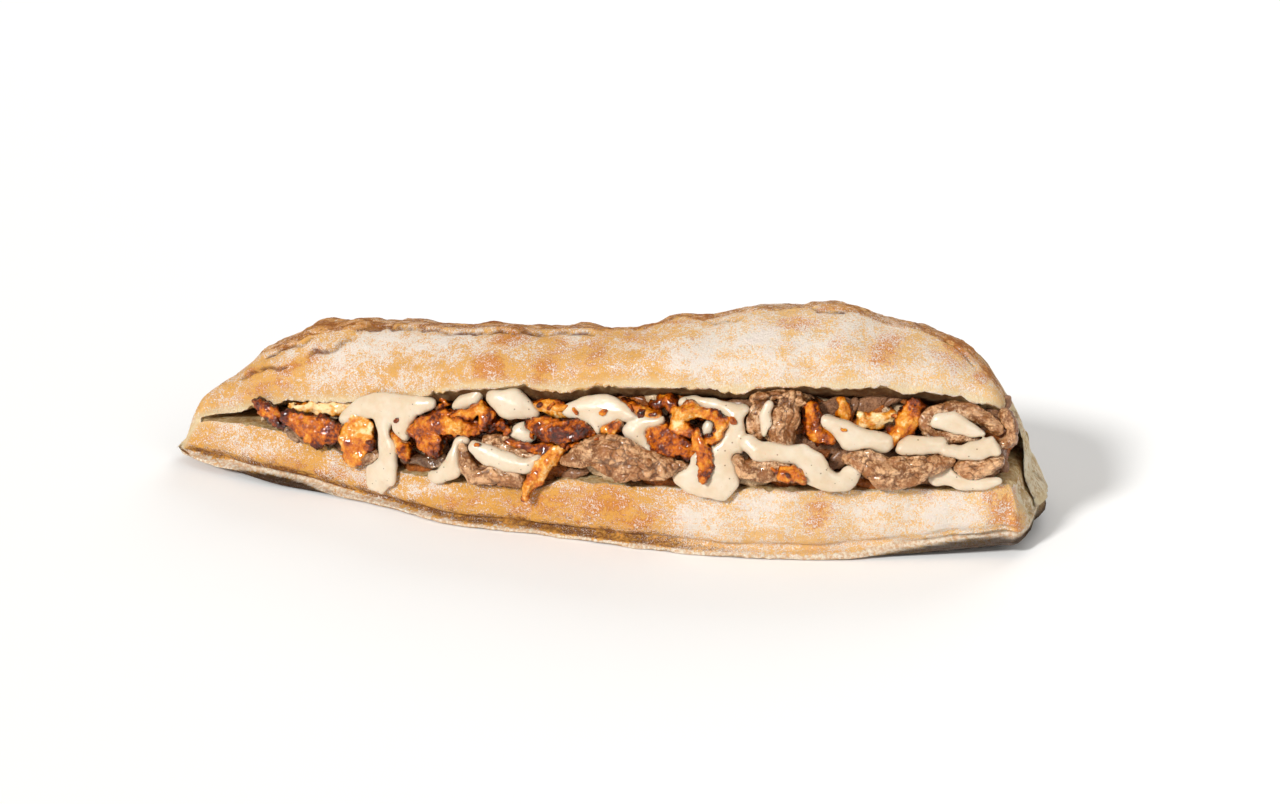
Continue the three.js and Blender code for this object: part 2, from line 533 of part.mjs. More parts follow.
function heap() {
  return skin(stations(HEAP_FROM, HEAP_TO, 26, 0.2).map((x, i) => {
    const inset = faceNormal(x).multiplyScalar(-HEAP_SET_BACK - 0.9 * Math.sin(0.5 * x) * Math.cos(0.13 * x));
    const reach = x < -98 ? 0.55 : 0.84;
    const low = (s) => mix(lowerLip(x), [hinge(x)[0], hinge(x)[1] - 0.7], s);
    const high = (s) => mix(upperLip(x), [hinge(x)[0], hinge(x)[1] + 0.7], s);
    const taper = smooth(clamp((HEAP_TO + 6 - x) / 14, 0.15, 1)) * smooth(clamp((x - HEAP_FROM + 6) / 14, 0.25, 1));
    const shelf = (s, gap) => {
      const [y, z] = high(s);
      const floor = low(s)[1] + CUT_GAP;
      return [y, floor + Math.max(z - gap - floor, 0.6) * taper];
    };
    const bump = (k) => 0.7 * Math.sin(0.31 * x + 2.3 * k) + 0.5 * Math.sin(0.77 * x + k);
    const top = Math.max(upperLipZ(x) - darkGap(x) - 1.5, lowerLipZ(x) + 2);
    const faced = (z) => [faceY(x, z) + inset.y, z + inset.z];
    const bottom = lowerLipZ(x) + CUT_GAP + 0.5;
    const rise = (top - bottom) * taper;
    return [
      [faced(bottom)[0] + 1, low(0.06)[1] + CUT_GAP],
      [low(0.5)[0], low(0.5)[1] + CUT_GAP],
      [low(reach)[0], low(reach)[1] + CUT_GAP],
      shelf(reach, 1.1),
      shelf(0.62, 1.4 + 0.4 * bump(1)),
      shelf(0.36, 1.8 + 0.4 * bump(2)),
      [faced(top)[0] + 6, bottom + rise + 0.5 * bump(3)],
      [faced(top)[0] + 1.2, bottom + rise * 0.93 + 0.4 * bump(4)],
      [faced(bottom + rise * 0.66)[0] + 0.8 * bump(5), bottom + rise * 0.66],
      [faced(bottom + rise * 0.33)[0] + 0.8 * bump(6), bottom + rise * 0.33],
    ].map(([y, z]) => [x + 0.4 * Math.sin(i * 2.4 + z), y, z]);
  }));
}

function mesh(name, made, colour, roughness) {
  const { vertProperties, triVerts, numProp, numVert } = made.getMesh();
  const position = new Float32Array(numVert * 3);
  for (let i = 0; i < numVert; i++) position.set(vertProperties.subarray(i * numProp, i * numProp + 3), i * 3);
  const geometry = new THREE.BufferGeometry()
    .setAttribute("position", new THREE.BufferAttribute(position, 3))
    .setIndex(new THREE.BufferAttribute(triVerts, 1));
  geometry.computeVertexNormals();
  const shown = new THREE.Mesh(geometry, new THREE.MeshStandardMaterial({ color: colour, roughness }));
  shown.name = name;
  return shown;
}

const KINDS = [
  { kind: "beef", table: BEEF, colour: 0x93725c, roughness: 0.6, rough: 0.1 },
  { kind: "onion", table: ONION, colour: 0xb8691f, roughness: 0.35, rough: 0.14 },
  { kind: "sauce", table: SAUCE, colour: 0xf2e2c3, roughness: 0.25, rough: 0.04 },
];

const sandwich = new THREE.Group();
sandwich.add(mesh("bread", largest(loafWithoutSlit(0).subtract(slit(0))), 0xd8ab72, 0.8));

// Food that stands further out is left whole, what is behind it gives way, and sauce gives way to all.
const standing = (paths) => paths.flat().reduce((sum, row) => sum + row[2], 0) / paths.flat().length;
const pieces = KINDS.flatMap(({ table, ...look }) => Object.entries(table).map(([name, paths], i) => ({
  ...look, name: `${look.kind}_${name}`, paths, seed: 1.7 * i, first: look.kind === "sauce" ? 0 : 100 + standing(paths),
}))).sort((a, b) => b.first - a.first);

const keepOut = loafWithoutSlit(GAP).subtract(slit(-GAP));
const placed = [];
for (const { name, paths, seed, rough, colour, roughness } of pieces) {
  const near = (box) => placed.filter(({ grown }) => overlap(grown.boundingBox(), box));
  const whole = piece(paths, { extra: 0, rough, seed });
  const around = near(whole.boundingBox()).map(({ grown }) => grown);
  const cut = [keepOut, ...around].reduce((left, other) => left.subtract(other), whole);
  placed.push({ grown: piece(paths, { extra: GAP, rough, seed }) });
  sandwich.add(mesh(name, largest(cut), colour, roughness));
}
const core = placed.reduce((left, { grown }) => left.subtract(grown), heap().subtract(keepOut));
sandwich.add(mesh("filling_core", largest(core), 0x8a5f3c, 0.55));

// Boxes round two pieces overlap where they do along every axis.
function overlap(one, other) {
  return [0, 1, 2].every((c) => one.min[c] < other.max[c] && other.min[c] < one.max[c]);
}

// The origin goes under the middle of the loaf.
const bounds = new THREE.Box3().setFromObject(sandwich, true);
const middle = bounds.getCenter(new THREE.Vector3());
sandwich.position.set(-middle.x, -middle.y, -bounds.min.z);

export default sandwich;
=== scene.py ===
"""A submarine sandwich: a rustic loaf slit along its front, with beef, fried onion and cream sauce."""

import json
import math

import bpy
import numpy as np
from bpy.props import FloatProperty, FloatVectorProperty, PointerProperty
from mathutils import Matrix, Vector, kdtree
from mathutils.bvhtree import BVHTree

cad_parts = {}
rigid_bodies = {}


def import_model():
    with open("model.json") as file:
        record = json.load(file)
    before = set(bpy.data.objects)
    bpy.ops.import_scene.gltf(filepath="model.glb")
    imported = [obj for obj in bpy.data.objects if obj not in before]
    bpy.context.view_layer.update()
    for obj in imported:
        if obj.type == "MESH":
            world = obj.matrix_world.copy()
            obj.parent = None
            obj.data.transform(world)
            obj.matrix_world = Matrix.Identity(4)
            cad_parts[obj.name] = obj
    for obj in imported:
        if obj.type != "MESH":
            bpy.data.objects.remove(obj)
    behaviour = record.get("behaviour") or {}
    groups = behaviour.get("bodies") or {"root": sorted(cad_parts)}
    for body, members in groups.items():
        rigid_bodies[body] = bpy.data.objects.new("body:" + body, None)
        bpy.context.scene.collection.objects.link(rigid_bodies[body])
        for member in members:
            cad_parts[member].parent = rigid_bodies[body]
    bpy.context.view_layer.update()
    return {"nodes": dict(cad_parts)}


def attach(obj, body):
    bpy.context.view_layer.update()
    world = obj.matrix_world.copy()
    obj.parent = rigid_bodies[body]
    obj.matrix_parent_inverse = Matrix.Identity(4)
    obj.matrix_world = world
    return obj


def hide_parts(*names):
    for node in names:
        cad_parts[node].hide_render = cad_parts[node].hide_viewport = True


bl_info = {
    "name": "Submarine sandwich",
    "version": (1, 0, 0),
    "blender": (4, 5, 0),
    "location": "3D View > Sidebar > Sandwich",
    "description": "Builds a filled loaf with its crust, crumb, beef, fried onion and sauce",
    "category": "Add Mesh",
}

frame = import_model()
NODES = frame["nodes"]
MM = 0.001
QUICK_COARSENESS = 1

# The loaf, in the millimetres of its own outline. SHIFT takes them to the frame.
SHIFT = np.array([-0.29, 0.61, 0.08])
TIP_X, END_X, SLIT_X = -145.0, 142.5, -134.0
# The crust left behind the cut, how far back the lower lip is, how high the rim of the foot is, and half the
# height of the cut at its bottom.
HINGE_WALL, LIP_INSET, FLANGE, SLIT_HALF_GAP = 7.0, 2.2, 1.4, 0.7
# How far the face of the filling leans, in mm back for each mm up.
FACE_SLOPE = 0.3

# The direction that the loaf is looked at from: 12 degrees to the right and 20 above.
TURN, TILT = math.radians(12), math.radians(20)
VIEW_TARGET = np.array([13.0, 6.0, 31.0])
VIEW_DISTANCE = 900.0
VIEW_RIGHT = np.array([math.cos(TURN), math.sin(TURN), 0])
VIEW_UP = np.array([-math.sin(TURN) * math.sin(TILT), math.cos(TURN) * math.sin(TILT), math.cos(TILT)])
VIEW_TOWARDS = np.array([math.sin(TURN) * math.cos(TILT), -math.cos(TURN) * math.cos(TILT), math.sin(TILT)])

# The loaf's curves, each as pairs of (x, value): how far out its front and back reach, how high its underside,
# its lips and the bottom of the cut are, and how thick the upper half is.

FRONT = [(-145, 1), (-142, -3), (-136, -7), (-122, -11.5), (-106, -17), (-88, -20), (-66, -26), (-40, -36),
         (-10, -38), (20, -42), (50, -43.5), (80, -39.5), (105, -33), (122, -28.5), (134, -25.5), (139, -24),
         (142.5, -15)]
BACK = [(-145, 7), (-142, 12), (-136, 18), (-122, 26), (-106, 32), (-88, 36), (-66, 39), (-40, 41), (-10, 42),
        (20, 43), (50, 43.5), (80, 43), (105, 41), (122, 38), (134, 34), (139, 30), (142.5, 22)]
LIFT = [(-145, 4.6), (-142, 3.9), (-136, 3.4), (-122, 2.2), (-106, 1.2), (-88, 0.4), (-66, 0), (80, 0),
        (105, 1.2), (122, 2.4), (134, 3.6), (139, 4), (142.5, 5.5)]
LOWER_LIP = [(-145, 5), (-142, 6.6), (-139, 11.2), (-134, 16.8), (-122, 18.8), (-106, 20), (-96, 19.4),
             (-84, 16), (-74, 12.8), (-60, 13.4), (-40, 14.5), (-12, 15), (-2, 19), (20, 20.2), (48, 21.2),
             (60, 22.8), (80, 22.4), (105, 22.5), (122, 22.2), (133, 24), (137, 21.5), (138.4, 16.8),
             (140, 14.6), (142.5, 9.2)]
UPPER_LIP = [(-145, 5.6), (-142, 7.4), (-139, 12.2), (-134, 18.2), (-122, 21.4), (-112, 25.5), (-98, 28.6),
             (-81, 31.9), (-66, 34), (-45, 41.5), (-30, 45.8), (-5, 46.8), (20, 51.8), (50, 52.4), (80, 54.4),
             (106, 52.2), (122, 49.6), (131, 46), (134, 39.5), (136, 31.5), (137.2, 25), (138.4, 18),
             (140, 15.4), (142.5, 10)]
UPPER_LIP_INSET = [(-145, 3), (-134, 3), (-122, 5), (120, 7.5), (131, 9), (134, 20), (137.5, 32), (142.5, 26)]
# How far the torn crumb hangs down behind the upper lip: (x, mm).
CRUMB_DROP = [(-134, 0), (-112, 0.6), (-70, 1.0), (-56, 2.4), (-30, 3.6), (-5, 3.6), (14, 3.0), (34, 2.0),
              (60, 1.6), (110, 1.6), (128, 0.6), (142.5, 0)]
HINGE_Z = [(-145, 5.3), (-142, 7), (-139, 11.4), (-134, 16.2), (-106, 18.5), (-66, 20), (20, 21), (80, 22),
           (122, 22), (134, 21), (137, 20), (138.4, 16.4), (140, 14.4), (142.5, 9.5)]
CROWN = [(-145, 0.5), (-142, 1.2), (-139, 3.2), (-136, 5.2), (-130, 8.6), (-122, 12.6), (-116, 16.7),
         (-106, 21.9), (-96, 26.2), (-88, 25.8), (-77, 25.5), (-66, 24.7), (-53, 23.8), (-40, 22.2),
         (-25, 20.8), (-10, 20.8), (0, 22), (12, 21), (22, 21.5), (32, 24.9), (41, 25.3), (50, 27.9),
         (65, 29.5), (80, 29), (92, 25.9), (105, 23), (116, 21), (120, 19), (124, 16), (128, 11.5),
         (131, 7.5), (134, 4), (136, 2.4), (139.5, 1.4), (142.5, 0.8)]
SLIT_DEPTH = [(-134, 0.06), (-126, 0.4), (-112, 0.8), (-98, 1), (142.5, 1)]

# How far below its crest, as the eye sees it, the crust's torn ridge runs: (x, mm).
EAR_DROP = [(-140, 0.5), (-118, 1.5), (-104, 5.6), (-92, 6), (-80, 4.2), (-66, 3.4), (-40, 2.4), (-12, 2.0),
            (30, 2.0), (45, 2.4), (110, 2.6), (142, 1.4)]

# How high the pale rim runs above the bottom of the loaf: (x, mm).
RIM_HEIGHT = [(-145, 0.3), (-128, 0.8), (-118, 2.4), (-106, 3.2), (-94, 2.8), (-82, 1.2), (-70, 0.4), (70, 0.4),
              (88, 0.9), (100, 2.2), (118, 3.4), (132, 3.4), (142.5, 2.0)]

# Marks on the crust are placed in mm across and up, as the loaf is seen from the front.
CRACKS = [
    # points along the crack, half width, depth
    ([(-130.8, 7.1), (-127.2, 9.1), (-122.7, 10.4), (-116.8, 11.7), (-113.6, 13.0)], 0.5, 1.1),
    ([(-108.7, 14.9), (-106.4, 16.2), (-103.2, 16.2), (-99.0, 17.8), (-95.7, 19.8), (-91.5, 21.1)], 0.6, 1.4),
    ([(-122.7, 13.6), (-116.8, 16.9), (-110.3, 18.8), (-105.1, 21.7)], 0.45, 0.9),
    ([(-93.5, 22.6), (-89.6, 23.8), (-83.1, 24.3), (-76.3, 24.2), (-68.1, 23.9), (-61.0, 23.0), (-53.5, 22.6),
      (-44, 22.9), (-30, 22.7), (-14, 22.9)], 0.45, 1.0),
    ([(19.5, 27.0), (23.4, 25.8), (29.2, 26.1), (34, 27)], 0.4, 0.6),
    ([(53.9, 31.0), (58.4, 29.8), (63.6, 29.5), (68.1, 30.3)], 0.45, 0.8),
    ([(79.5, 28.8), (84.4, 27.2), (89.2, 26.2), (93.5, 24.0)], 0.45, 0.8),
    ([(97, 21.5), (102, 18.5), (107, 13.5), (110, 9.5)], 0.45, 0.6),
]
# Patches: middle across and up, reach along and across, tilt in degrees, strength.
TOAST = [
    (-120.7, 5.5, 9.7, 4.5, 20, 0.55),
    (-110.3, 13.0, 8.4, 2.6, 25, 0.7),
    (-95.7, 24.7, 11.0, 1.6, 0, 0.95),
    (-124.9, 9.7, 4.5, 2.9, 40, 0.8),
    (-48.7, 11.7, 7.1, 5.2, -30, 0.75),
    (-42.8, 20.4, 6.5, 2.6, 0, 0.8),
    (-30.5, 11.7, 7.1, 4.5, 45, 0.8),
    (-14.3, 16.2, 8.4, 5.8, 30, 0.55),
    (-26.0, 19.5, 4.5, 1.9, 0, 0.6),
    (0.0, 20.8, 11.0, 3.2, -10, 0.6),
    (19.5, 27.9, 5.2, 1.6, 0, 0.9),
    (16.9, 20.8, 1.9, 1.3, 0, 0.9),
    (4.9, 13.6, 5.2, 2.6, 0, 0.45),
    (48.7, 25.0, 11.7, 3.2, 0, 0.7),
    (43.8, 18.5, 7.1, 1.9, 0, 0.5),
    (55.8, 11.7, 1.3, 1.0, 0, 0.9),
    (63.6, 18.5, 4.5, 5.8, 0, 0.35),
    (79.8, 16.2, 7.1, 7.1, 30, 0.7),
    (103.2, 18.5, 6.5, 8.4, -50, 0.95),
    (92.5, 23.4, 5.8, 3.2, -20, 0.6),
    (111.0, 8.8, 3.2, 5.8, -55, 0.8),
    (23.4, 11.0, 2.6, 1.0, 45, 0.6),
    (-13.0, 9.1, 7.8, 1.9, 0, 0.3),
    (-45.4, 26.0, 19.5, 1.0, 0, 0.8),
    (0.0, 25.6, 19.5, 1.0, 0, 0.9),
    (68.1, 30.5, 13.0, 1.0, 0, 0.8),
    (86.0, 27.3, 7.1, 1.3, -25, 0.85),
    (-137.9, -12.3, 5.2, 5.2, 0, 0.35),
    (-110.3, -22.1, 19.5, 3.2, -12, 0.55),
    (-60.0, -31.8, 13.0, 3.9, -8, 0.5),
    (-32.5, -31.8, 16.2, 7.1, 0, 0.55),
    (-9.7, -33.4, 9.7, 7.1, 0, 0.7),
    (0.0, -38.3, 9.7, 3.9, 0, 0.6),
    (59.1, -35.0, 6.5, 7.8, 0, 0.75),
    (116.8, -33.4, 6.5, 9.7, 0, 0.75),
    (121.4, -39.9, 3.2, 5.2, 0, 0.9),
    (19.5, -29.9, 19.5, 1.3, 0, 0.55),
    (45.4, -28.2, 7.1, 1.0, 0, 0.6),
    (-38.9, -24.7, 8.4, 1.6, 0, 0.4),
    (32.5, -33.4, 3.2, 2.6, 0, 0.35),
    (94.1, -30.8, 9.7, 1.3, 0, 0.35),
    (-19.8, -38.3, 1.0, 1.3, 0, 1.2),
]
FLOUR = [
    (-87.0, 18.2, 14.3, 5.2, 10, 0.95),
    (-68.1, 18.5, 11.0, 5.8, 0, 0.9),
    (-55.2, 20.1, 7.8, 3.9, 0, 0.7),
    (-100.6, 7.1, 6.5, 2.6, 0, 0.5),
    (-77.9, 7.1, 9.7, 3.2, 0, 0.35),
    (-110.3, 16.2, 5.2, 1.9, 25, 0.5),
    (-38.9, 16.2, 6.5, 4.5, 0, 0.35),
    (-19.5, 21.7, 6.5, 2.6, 0, 0.4),
    (19.5, 16.2, 15.6, 7.8, 0, 0.85),
    (37.3, 20.8, 11.0, 5.8, 0, 0.95),
    (55.2, 18.5, 8.4, 5.8, 0, 0.75),
    (71.4, 23.4, 11.0, 3.9, 0, 0.55),
    (32.5, 12.0, 22.7, 3.9, 0, 0.5),
    (84.4, 8.8, 19.5, 3.9, 0, 0.4),
    (94.1, 13.6, 6.5, 4.5, 0, 0.35),
    (-3.2, 18.5, 7.8, 3.2, 0, 0.45),
    (-133.1, -9.1, 5.2, 4.5, 0, 0.45),
    (-123.3, -15.6, 8.4, 3.9, -10, 0.4),
    (-90.9, -23.7, 11.7, 3.9, -10, 0.45),
    (-73.0, -26.9, 8.4, 3.2, 0, 0.6),
    (-63.3, -25.3, 7.8, 3.2, 0, 0.6),
    (19.5, -36.7, 11.0, 7.1, 0, 0.65),
    (38.9, -33.4, 9.7, 7.1, 0, 0.7),
    (77.9, -36.7, 14.3, 6.5, 0, 0.6),
    (100.6, -36.7, 11.7, 6.5, 0, 0.7),
    (103.8, -47.4, 16.2, 1.3, 0, 1.0),
    (118.4, -45.8, 7.1, 1.6, 0, 1.0),
    (-26.0, -26.9, 6.5, 1.9, 0, 0.3),
]

# Relief of the crust, in mm: heights of its wrinkles, grain, crags and crumpled heel, and depth of its pits.
WRINKLE, GRAIN, CRAG, CRUMPLE, PIT = 0.28, 0.1, 1.0, 1.2, 0.5
# How far the upper half's crust is set back, to make room for that relief.
SET_BACK = 0.35
# Relief of the cut crumb, in mm: depth of its large and small pores and of its ragged surface.
PORE, FINE_PORE, RAGGED = 1.1, 0.35, 0.5
# How far the torn crumb stands down from the upper lip and up from the lower one, in mm.
TORN_UPPER, TORN_LOWER = 2.6, 0.4
# Relief of the beef, in mm: lumps, swollen bundles of fibre, their unevenness, cracks and fibres.
LUMP, SWELL, UNEVEN, CLEFT, FIBRE = 0.35, 0.7, 0.25, 0.6, 0.1
# Relief of the onion, in mm: folds, veins, crisp crags, blisters, the frill of its edge and its bend.
FOLD, VEIN, CRISP, BLISTER, FRILL, BEND = 0.3, 0.3, 0.7, 0.3, 1.2, 1.3
# Relief of the sauce, in mm: large and small ripples of its edges and waves of its surface.
RIPPLE, FINE_RIPPLE, WAVE = 0.7, 0.4, 0.25
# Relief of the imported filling, in mm: its lumps, the grooves between them and its grain.
HEAP_LUMP, HEAP_GROOVE, HEAP_GRAIN = 1.4, 1.6, 0.4
# Relief of the scraps in that filling and of the fried crumbs, in mm.
SCRAP_BEND, SCRAP_GRAIN, CRUMB_LUMP = 0.9, 0.4, 0.6


def srgb(*rgb):
    """Colour as the eye reads it, 0 to 255, in the linear numbers that a shader takes."""
    return tuple((c / 255 / 12.92) if c <= 10.3 else ((c / 255 + 0.055) / 1.055) ** 2.4 for c in rgb)


# ---- curves and noise

def profile(pairs):
    """A smooth curve through pairs of (place, value)."""
    xs = np.array([p[0] for p in pairs], float)
    vs = np.array([p[1] for p in pairs], float)
    last = len(xs) - 1
    low = np.maximum(np.arange(last + 1) - 1, 0)
    high = np.minimum(np.arange(last + 1) + 1, last)
    slope = (vs[high] - vs[low]) / (xs[high] - xs[low])

    def at(x):
        x = np.clip(x, xs[0], xs[-1])
        i = np.clip(np.searchsorted(xs, x, side="right") - 1, 0, last - 1)
        h = xs[i + 1] - xs[i]
        t = (x - xs[i]) / h
        rise = t * t * (3 - 2 * t)
        return vs[i] + (vs[i + 1] - vs[i]) * rise + h * t * (1 - t) * ((1 - t) * slope[i] - t * slope[i + 1])

    return at


front, back, lift = profile(FRONT), profile(BACK), profile(LIFT)
lower_lip_z, upper_lip_z, upper_lip_inset = profile(LOWER_LIP), profile(UPPER_LIP), profile(UPPER_LIP_INSET)
hinge_z, crown, slit_depth = profile(HINGE_Z), profile(CROWN), profile(SLIT_DEPTH)
ear_drop, rim_height, crumb_drop = profile(EAR_DROP), profile(RIM_HEIGHT), profile(CRUMB_DROP)


def smooth(v, low=0.0, high=1.0):
    """0 below low, 1 above high, and a soft step between."""
    t = np.clip((v - low) / (high - low), 0, 1)
    return t * t * (3 - 2 * t)


def lattice(ix, iy, iz, seed):
    """A steady random number from 0 to 1 for each lattice point."""
    h = (ix * 73856093) ^ (iy * 19349663) ^ (iz * 83492791) ^ (seed * 2654435761)
    h = (h ^ (h >> 13)) * 1274126177
    return ((h ^ (h >> 16)) & 0xFFFFFF) / 0xFFFFFF


def soft_noise(points, size, seed=0):
    """Smooth noise from -1 to 1, with lumps about size across."""
    q = points / size + 100.37
    base = np.floor(q).astype(np.int64)
    t = q - base
    t = t * t * (3 - 2 * t)
    total = 0
    for corner in range(8):
        bit = np.array([corner & 1, corner >> 1 & 1, corner >> 2 & 1])
        weight = np.prod(np.where(bit, t, 1 - t), axis=1)
        total = total + weight * lattice(*(base + bit).T, seed)
    return 2 * total - 1


def rough_noise(points, size, octaves=4, seed=0):
    """Noise with detail down to a fraction of size."""
    return sum(soft_noise(points, size / 2 ** k, seed + 31 * k) / 2 ** k for k in range(octaves)) / 1.6


def drift(points, size, seed):
    """A smooth wandering of the points, from -1 to 1 each way."""
    return np.stack([soft_noise(points, size, seed + k) for k in range(3)], axis=1)


def cells(points, size, seed=0):
    """Distance to the nearest and the next cell centre, in cells, and a random number for the cell."""
    q = points / size + 100.53
    base = np.floor(q).astype(np.int64)
    first = np.full(len(q), 9.0)
    second = np.full(len(q), 9.0)
    chosen = np.zeros(len(q))
    for dx in (-1, 0, 1):
        for dy in (-1, 0, 1):
            for dz in (-1, 0, 1):
                cell = base + np.array([dx, dy, dz])
                spot = cell + np.stack([lattice(*cell.T, seed + k) for k in (1, 2, 3)], axis=1)
                d = np.linalg.norm(spot - q, axis=1)
                nearer = d < first
                second = np.where(nearer, first, np.minimum(second, d))
                chosen = np.where(nearer, lattice(*cell.T, seed + 4), chosen)
                first = np.where(nearer, d, first)
    return first, second, chosen


# ---- meshes

def shade_smooth(mesh):
    mesh.polygons.foreach_set("use_smooth", [True] * len(mesh.polygons))
    mesh.update()


def make_object(name, points, faces):
    """An object from points in mm of the loaf's outline, and its faces."""
    mesh = bpy.data.meshes.new(name)
    mesh.from_pydata(((points + SHIFT) * MM).tolist(), [], [list(map(int, f)) for f in faces])
    shade_smooth(mesh)
    made = bpy.data.objects.new(name, mesh)
    bpy.context.scene.collection.objects.link(made)
    return made


def points_of(mesh):
    """A mesh's points, in mm of the loaf's outline."""
    flat = np.empty(len(mesh.vertices) * 3)
    mesh.vertices.foreach_get("co", flat)
    return flat.reshape(-1, 3) / MM - SHIFT


def set_points(mesh, points):
    """Moves a mesh's points to places in mm of the loaf's outline."""
    mesh.vertices.foreach_set("co", ((points + SHIFT) * MM).ravel())
    mesh.update()


def normals_of(mesh):
    """The direction that each point of a mesh faces."""
    flat = np.empty(len(mesh.vertices) * 3)
    mesh.vertex_normals.foreach_get("vector", flat)
    return flat.reshape(-1, 3)


def push_out(mesh, heights):
    """Moves each point along its normal by a height in mm."""
    set_points(mesh, points_of(mesh) + normals_of(mesh) * heights[:, None])


def write_attributes(mesh, **values):
    """Keeps numbers with the mesh's points, one for all of them or one for each, for its material to read."""
    for name, numbers in values.items():
        layer = mesh.attributes.get(name) or mesh.attributes.new(name, "FLOAT", "POINT")
        layer.data.foreach_set("value", np.full(len(mesh.vertices), numbers, float))


def read_attribute(mesh, name):
    values = np.zeros(len(mesh.vertices))
    mesh.attributes[name].data.foreach_get("value", values)
    return values


def applied(made):
    """The object with its modifiers applied."""
    graph = bpy.context.evaluated_depsgraph_get()
    mesh = bpy.data.meshes.new_from_object(made.evaluated_get(graph))
    made.modifiers.clear()
    made.data = mesh
    return made


def remeshed(made, mesh_size):
    """The object with an even mesh, its faces' sides mesh_size mm long."""
    fine = made.modifiers.new("fine", "REMESH")
    fine.mode = "VOXEL"
    fine.voxel_size = mesh_size * QUICK_COARSENESS * MM
    bpy.context.view_layer.update()
    return applied(made)


def relax(mesh, rounds, keep=0.0):
    """Moves each point towards its neighbours' mean, and keeps the volume by swelling a little."""
    edges = np.empty(len(mesh.edges) * 2, int)
    mesh.edges.foreach_get("vertices", edges)
    a, b = edges.reshape(-1, 2).T
    count = len(mesh.vertices)
    degree = np.bincount(a, minlength=count) + np.bincount(b, minlength=count)
    points = points_of(mesh)
    for _ in range(rounds):
        total = np.stack([np.bincount(a, points[b, c], count) + np.bincount(b, points[a, c], count)
                          for c in range(3)], axis=1)
        points = points + 0.5 * (total / degree[:, None] - points)
    set_points(mesh, points)
    if keep:
        set_points(mesh, points + keep * normals_of(mesh))


def grid_faces(rows, columns, start=0):
    """Quads of a tube of rings, each ring closed on itself."""
    i, j = np.meshgrid(np.arange(rows - 1), np.arange(columns), indexing="ij")
    k = (j + 1) % columns
    return (start + np.stack([i * columns + j, i * columns + k, (i + 1) * columns + k, (i + 1) * columns + j],
                             axis=-1)).reshape(-1, 4)


def closed_tube(rings):
    """Points and faces of a tube of rings with a fan on each end."""
    rows, columns, _ = rings.shape
    points = np.vstack([rings.reshape(-1, 3), rings[0].mean(0), rings[-1].mean(0)])
    j = np.arange(columns)
    k = (j + 1) % columns
    last = (rows - 1) * columns
    start = np.stack([k, j, np.full(columns, rows * columns)], axis=1)
    end = np.stack([last + j, last + k, np.full(columns, rows * columns + 1)], axis=1)
    return points, [*grid_faces(rows, columns), *start, *end]


# ---- shaders

class Signal:
    """A shader socket that arithmetic can be written with."""

    def __init__(self, tree, socket):
        self.tree = tree
        self.socket = socket

    def node(self, kind, settings=None, **values):
        """Adds a node: its settings first, then its sockets' values or links, by name or number."""
        made = self.tree.nodes.new(kind)
        for name, value in (settings or {}).items():
            if name == "stops":
                ramp = made.color_ramp
                while len(ramp.elements) < len(value):
                    ramp.elements.new(0.5)
                for element, (place, colour) in zip(ramp.elements, value):
                    element.position = place
                    element.color = (*colour, 1)
            else:
                setattr(made, name, value)
        for name, value in values.items():
            key = int(name[1:]) if name[0] == "_" else name.replace("_", " ")
            self.put(made.inputs[key], value)
        return made

    def put(self, socket, value):
        if isinstance(value, Signal):
            self.tree.links.new(value.socket, socket)
        elif isinstance(value, tuple) and len(value) == 3 and socket.type == "RGBA":
            socket.default_value = (*value, 1)
        else:
            socket.default_value = value

    def out(self, made, name=0):
        return Signal(self.tree, made.outputs[name])

    def math(self, operation, *values, clamp=False):
        made = self.node("ShaderNodeMath", {"operation": operation, "use_clamp": clamp},
                         **{f"_{i}": v for i, v in enumerate(values)})
        return self.out(made)

    def __add__(self, other):
        return self.math("ADD", self, other)

    def __sub__(self, other):
        return self.math("SUBTRACT", self, other)

    def __rsub__(self, other):
        return self.math("SUBTRACT", other, self)

    def __mul__(self, other):
        return self.math("MULTIPLY", self, other)

    __radd__ = __add__
    __rmul__ = __mul__

    def step(self, low, high):
        """0 below low, 1 above high, soft between."""
        made = self.node("ShaderNodeMapRange", {"interpolation_type": "SMOOTHSTEP"}, Value=self,
                         From_Min=low, From_Max=high)
        return self.out(made)

    def tint(self, under, over):
        """The colour under where this is 0 and over where it is 1."""
        made = self.node("ShaderNodeMix", {"data_type": "RGBA"}, _0=self, _6=under, _7=over)
        return self.out(made, 2)

    def ramp(self, *stops):
        return self.out(self.node("ShaderNodeValToRGB", {"stops": stops}, _0=self))


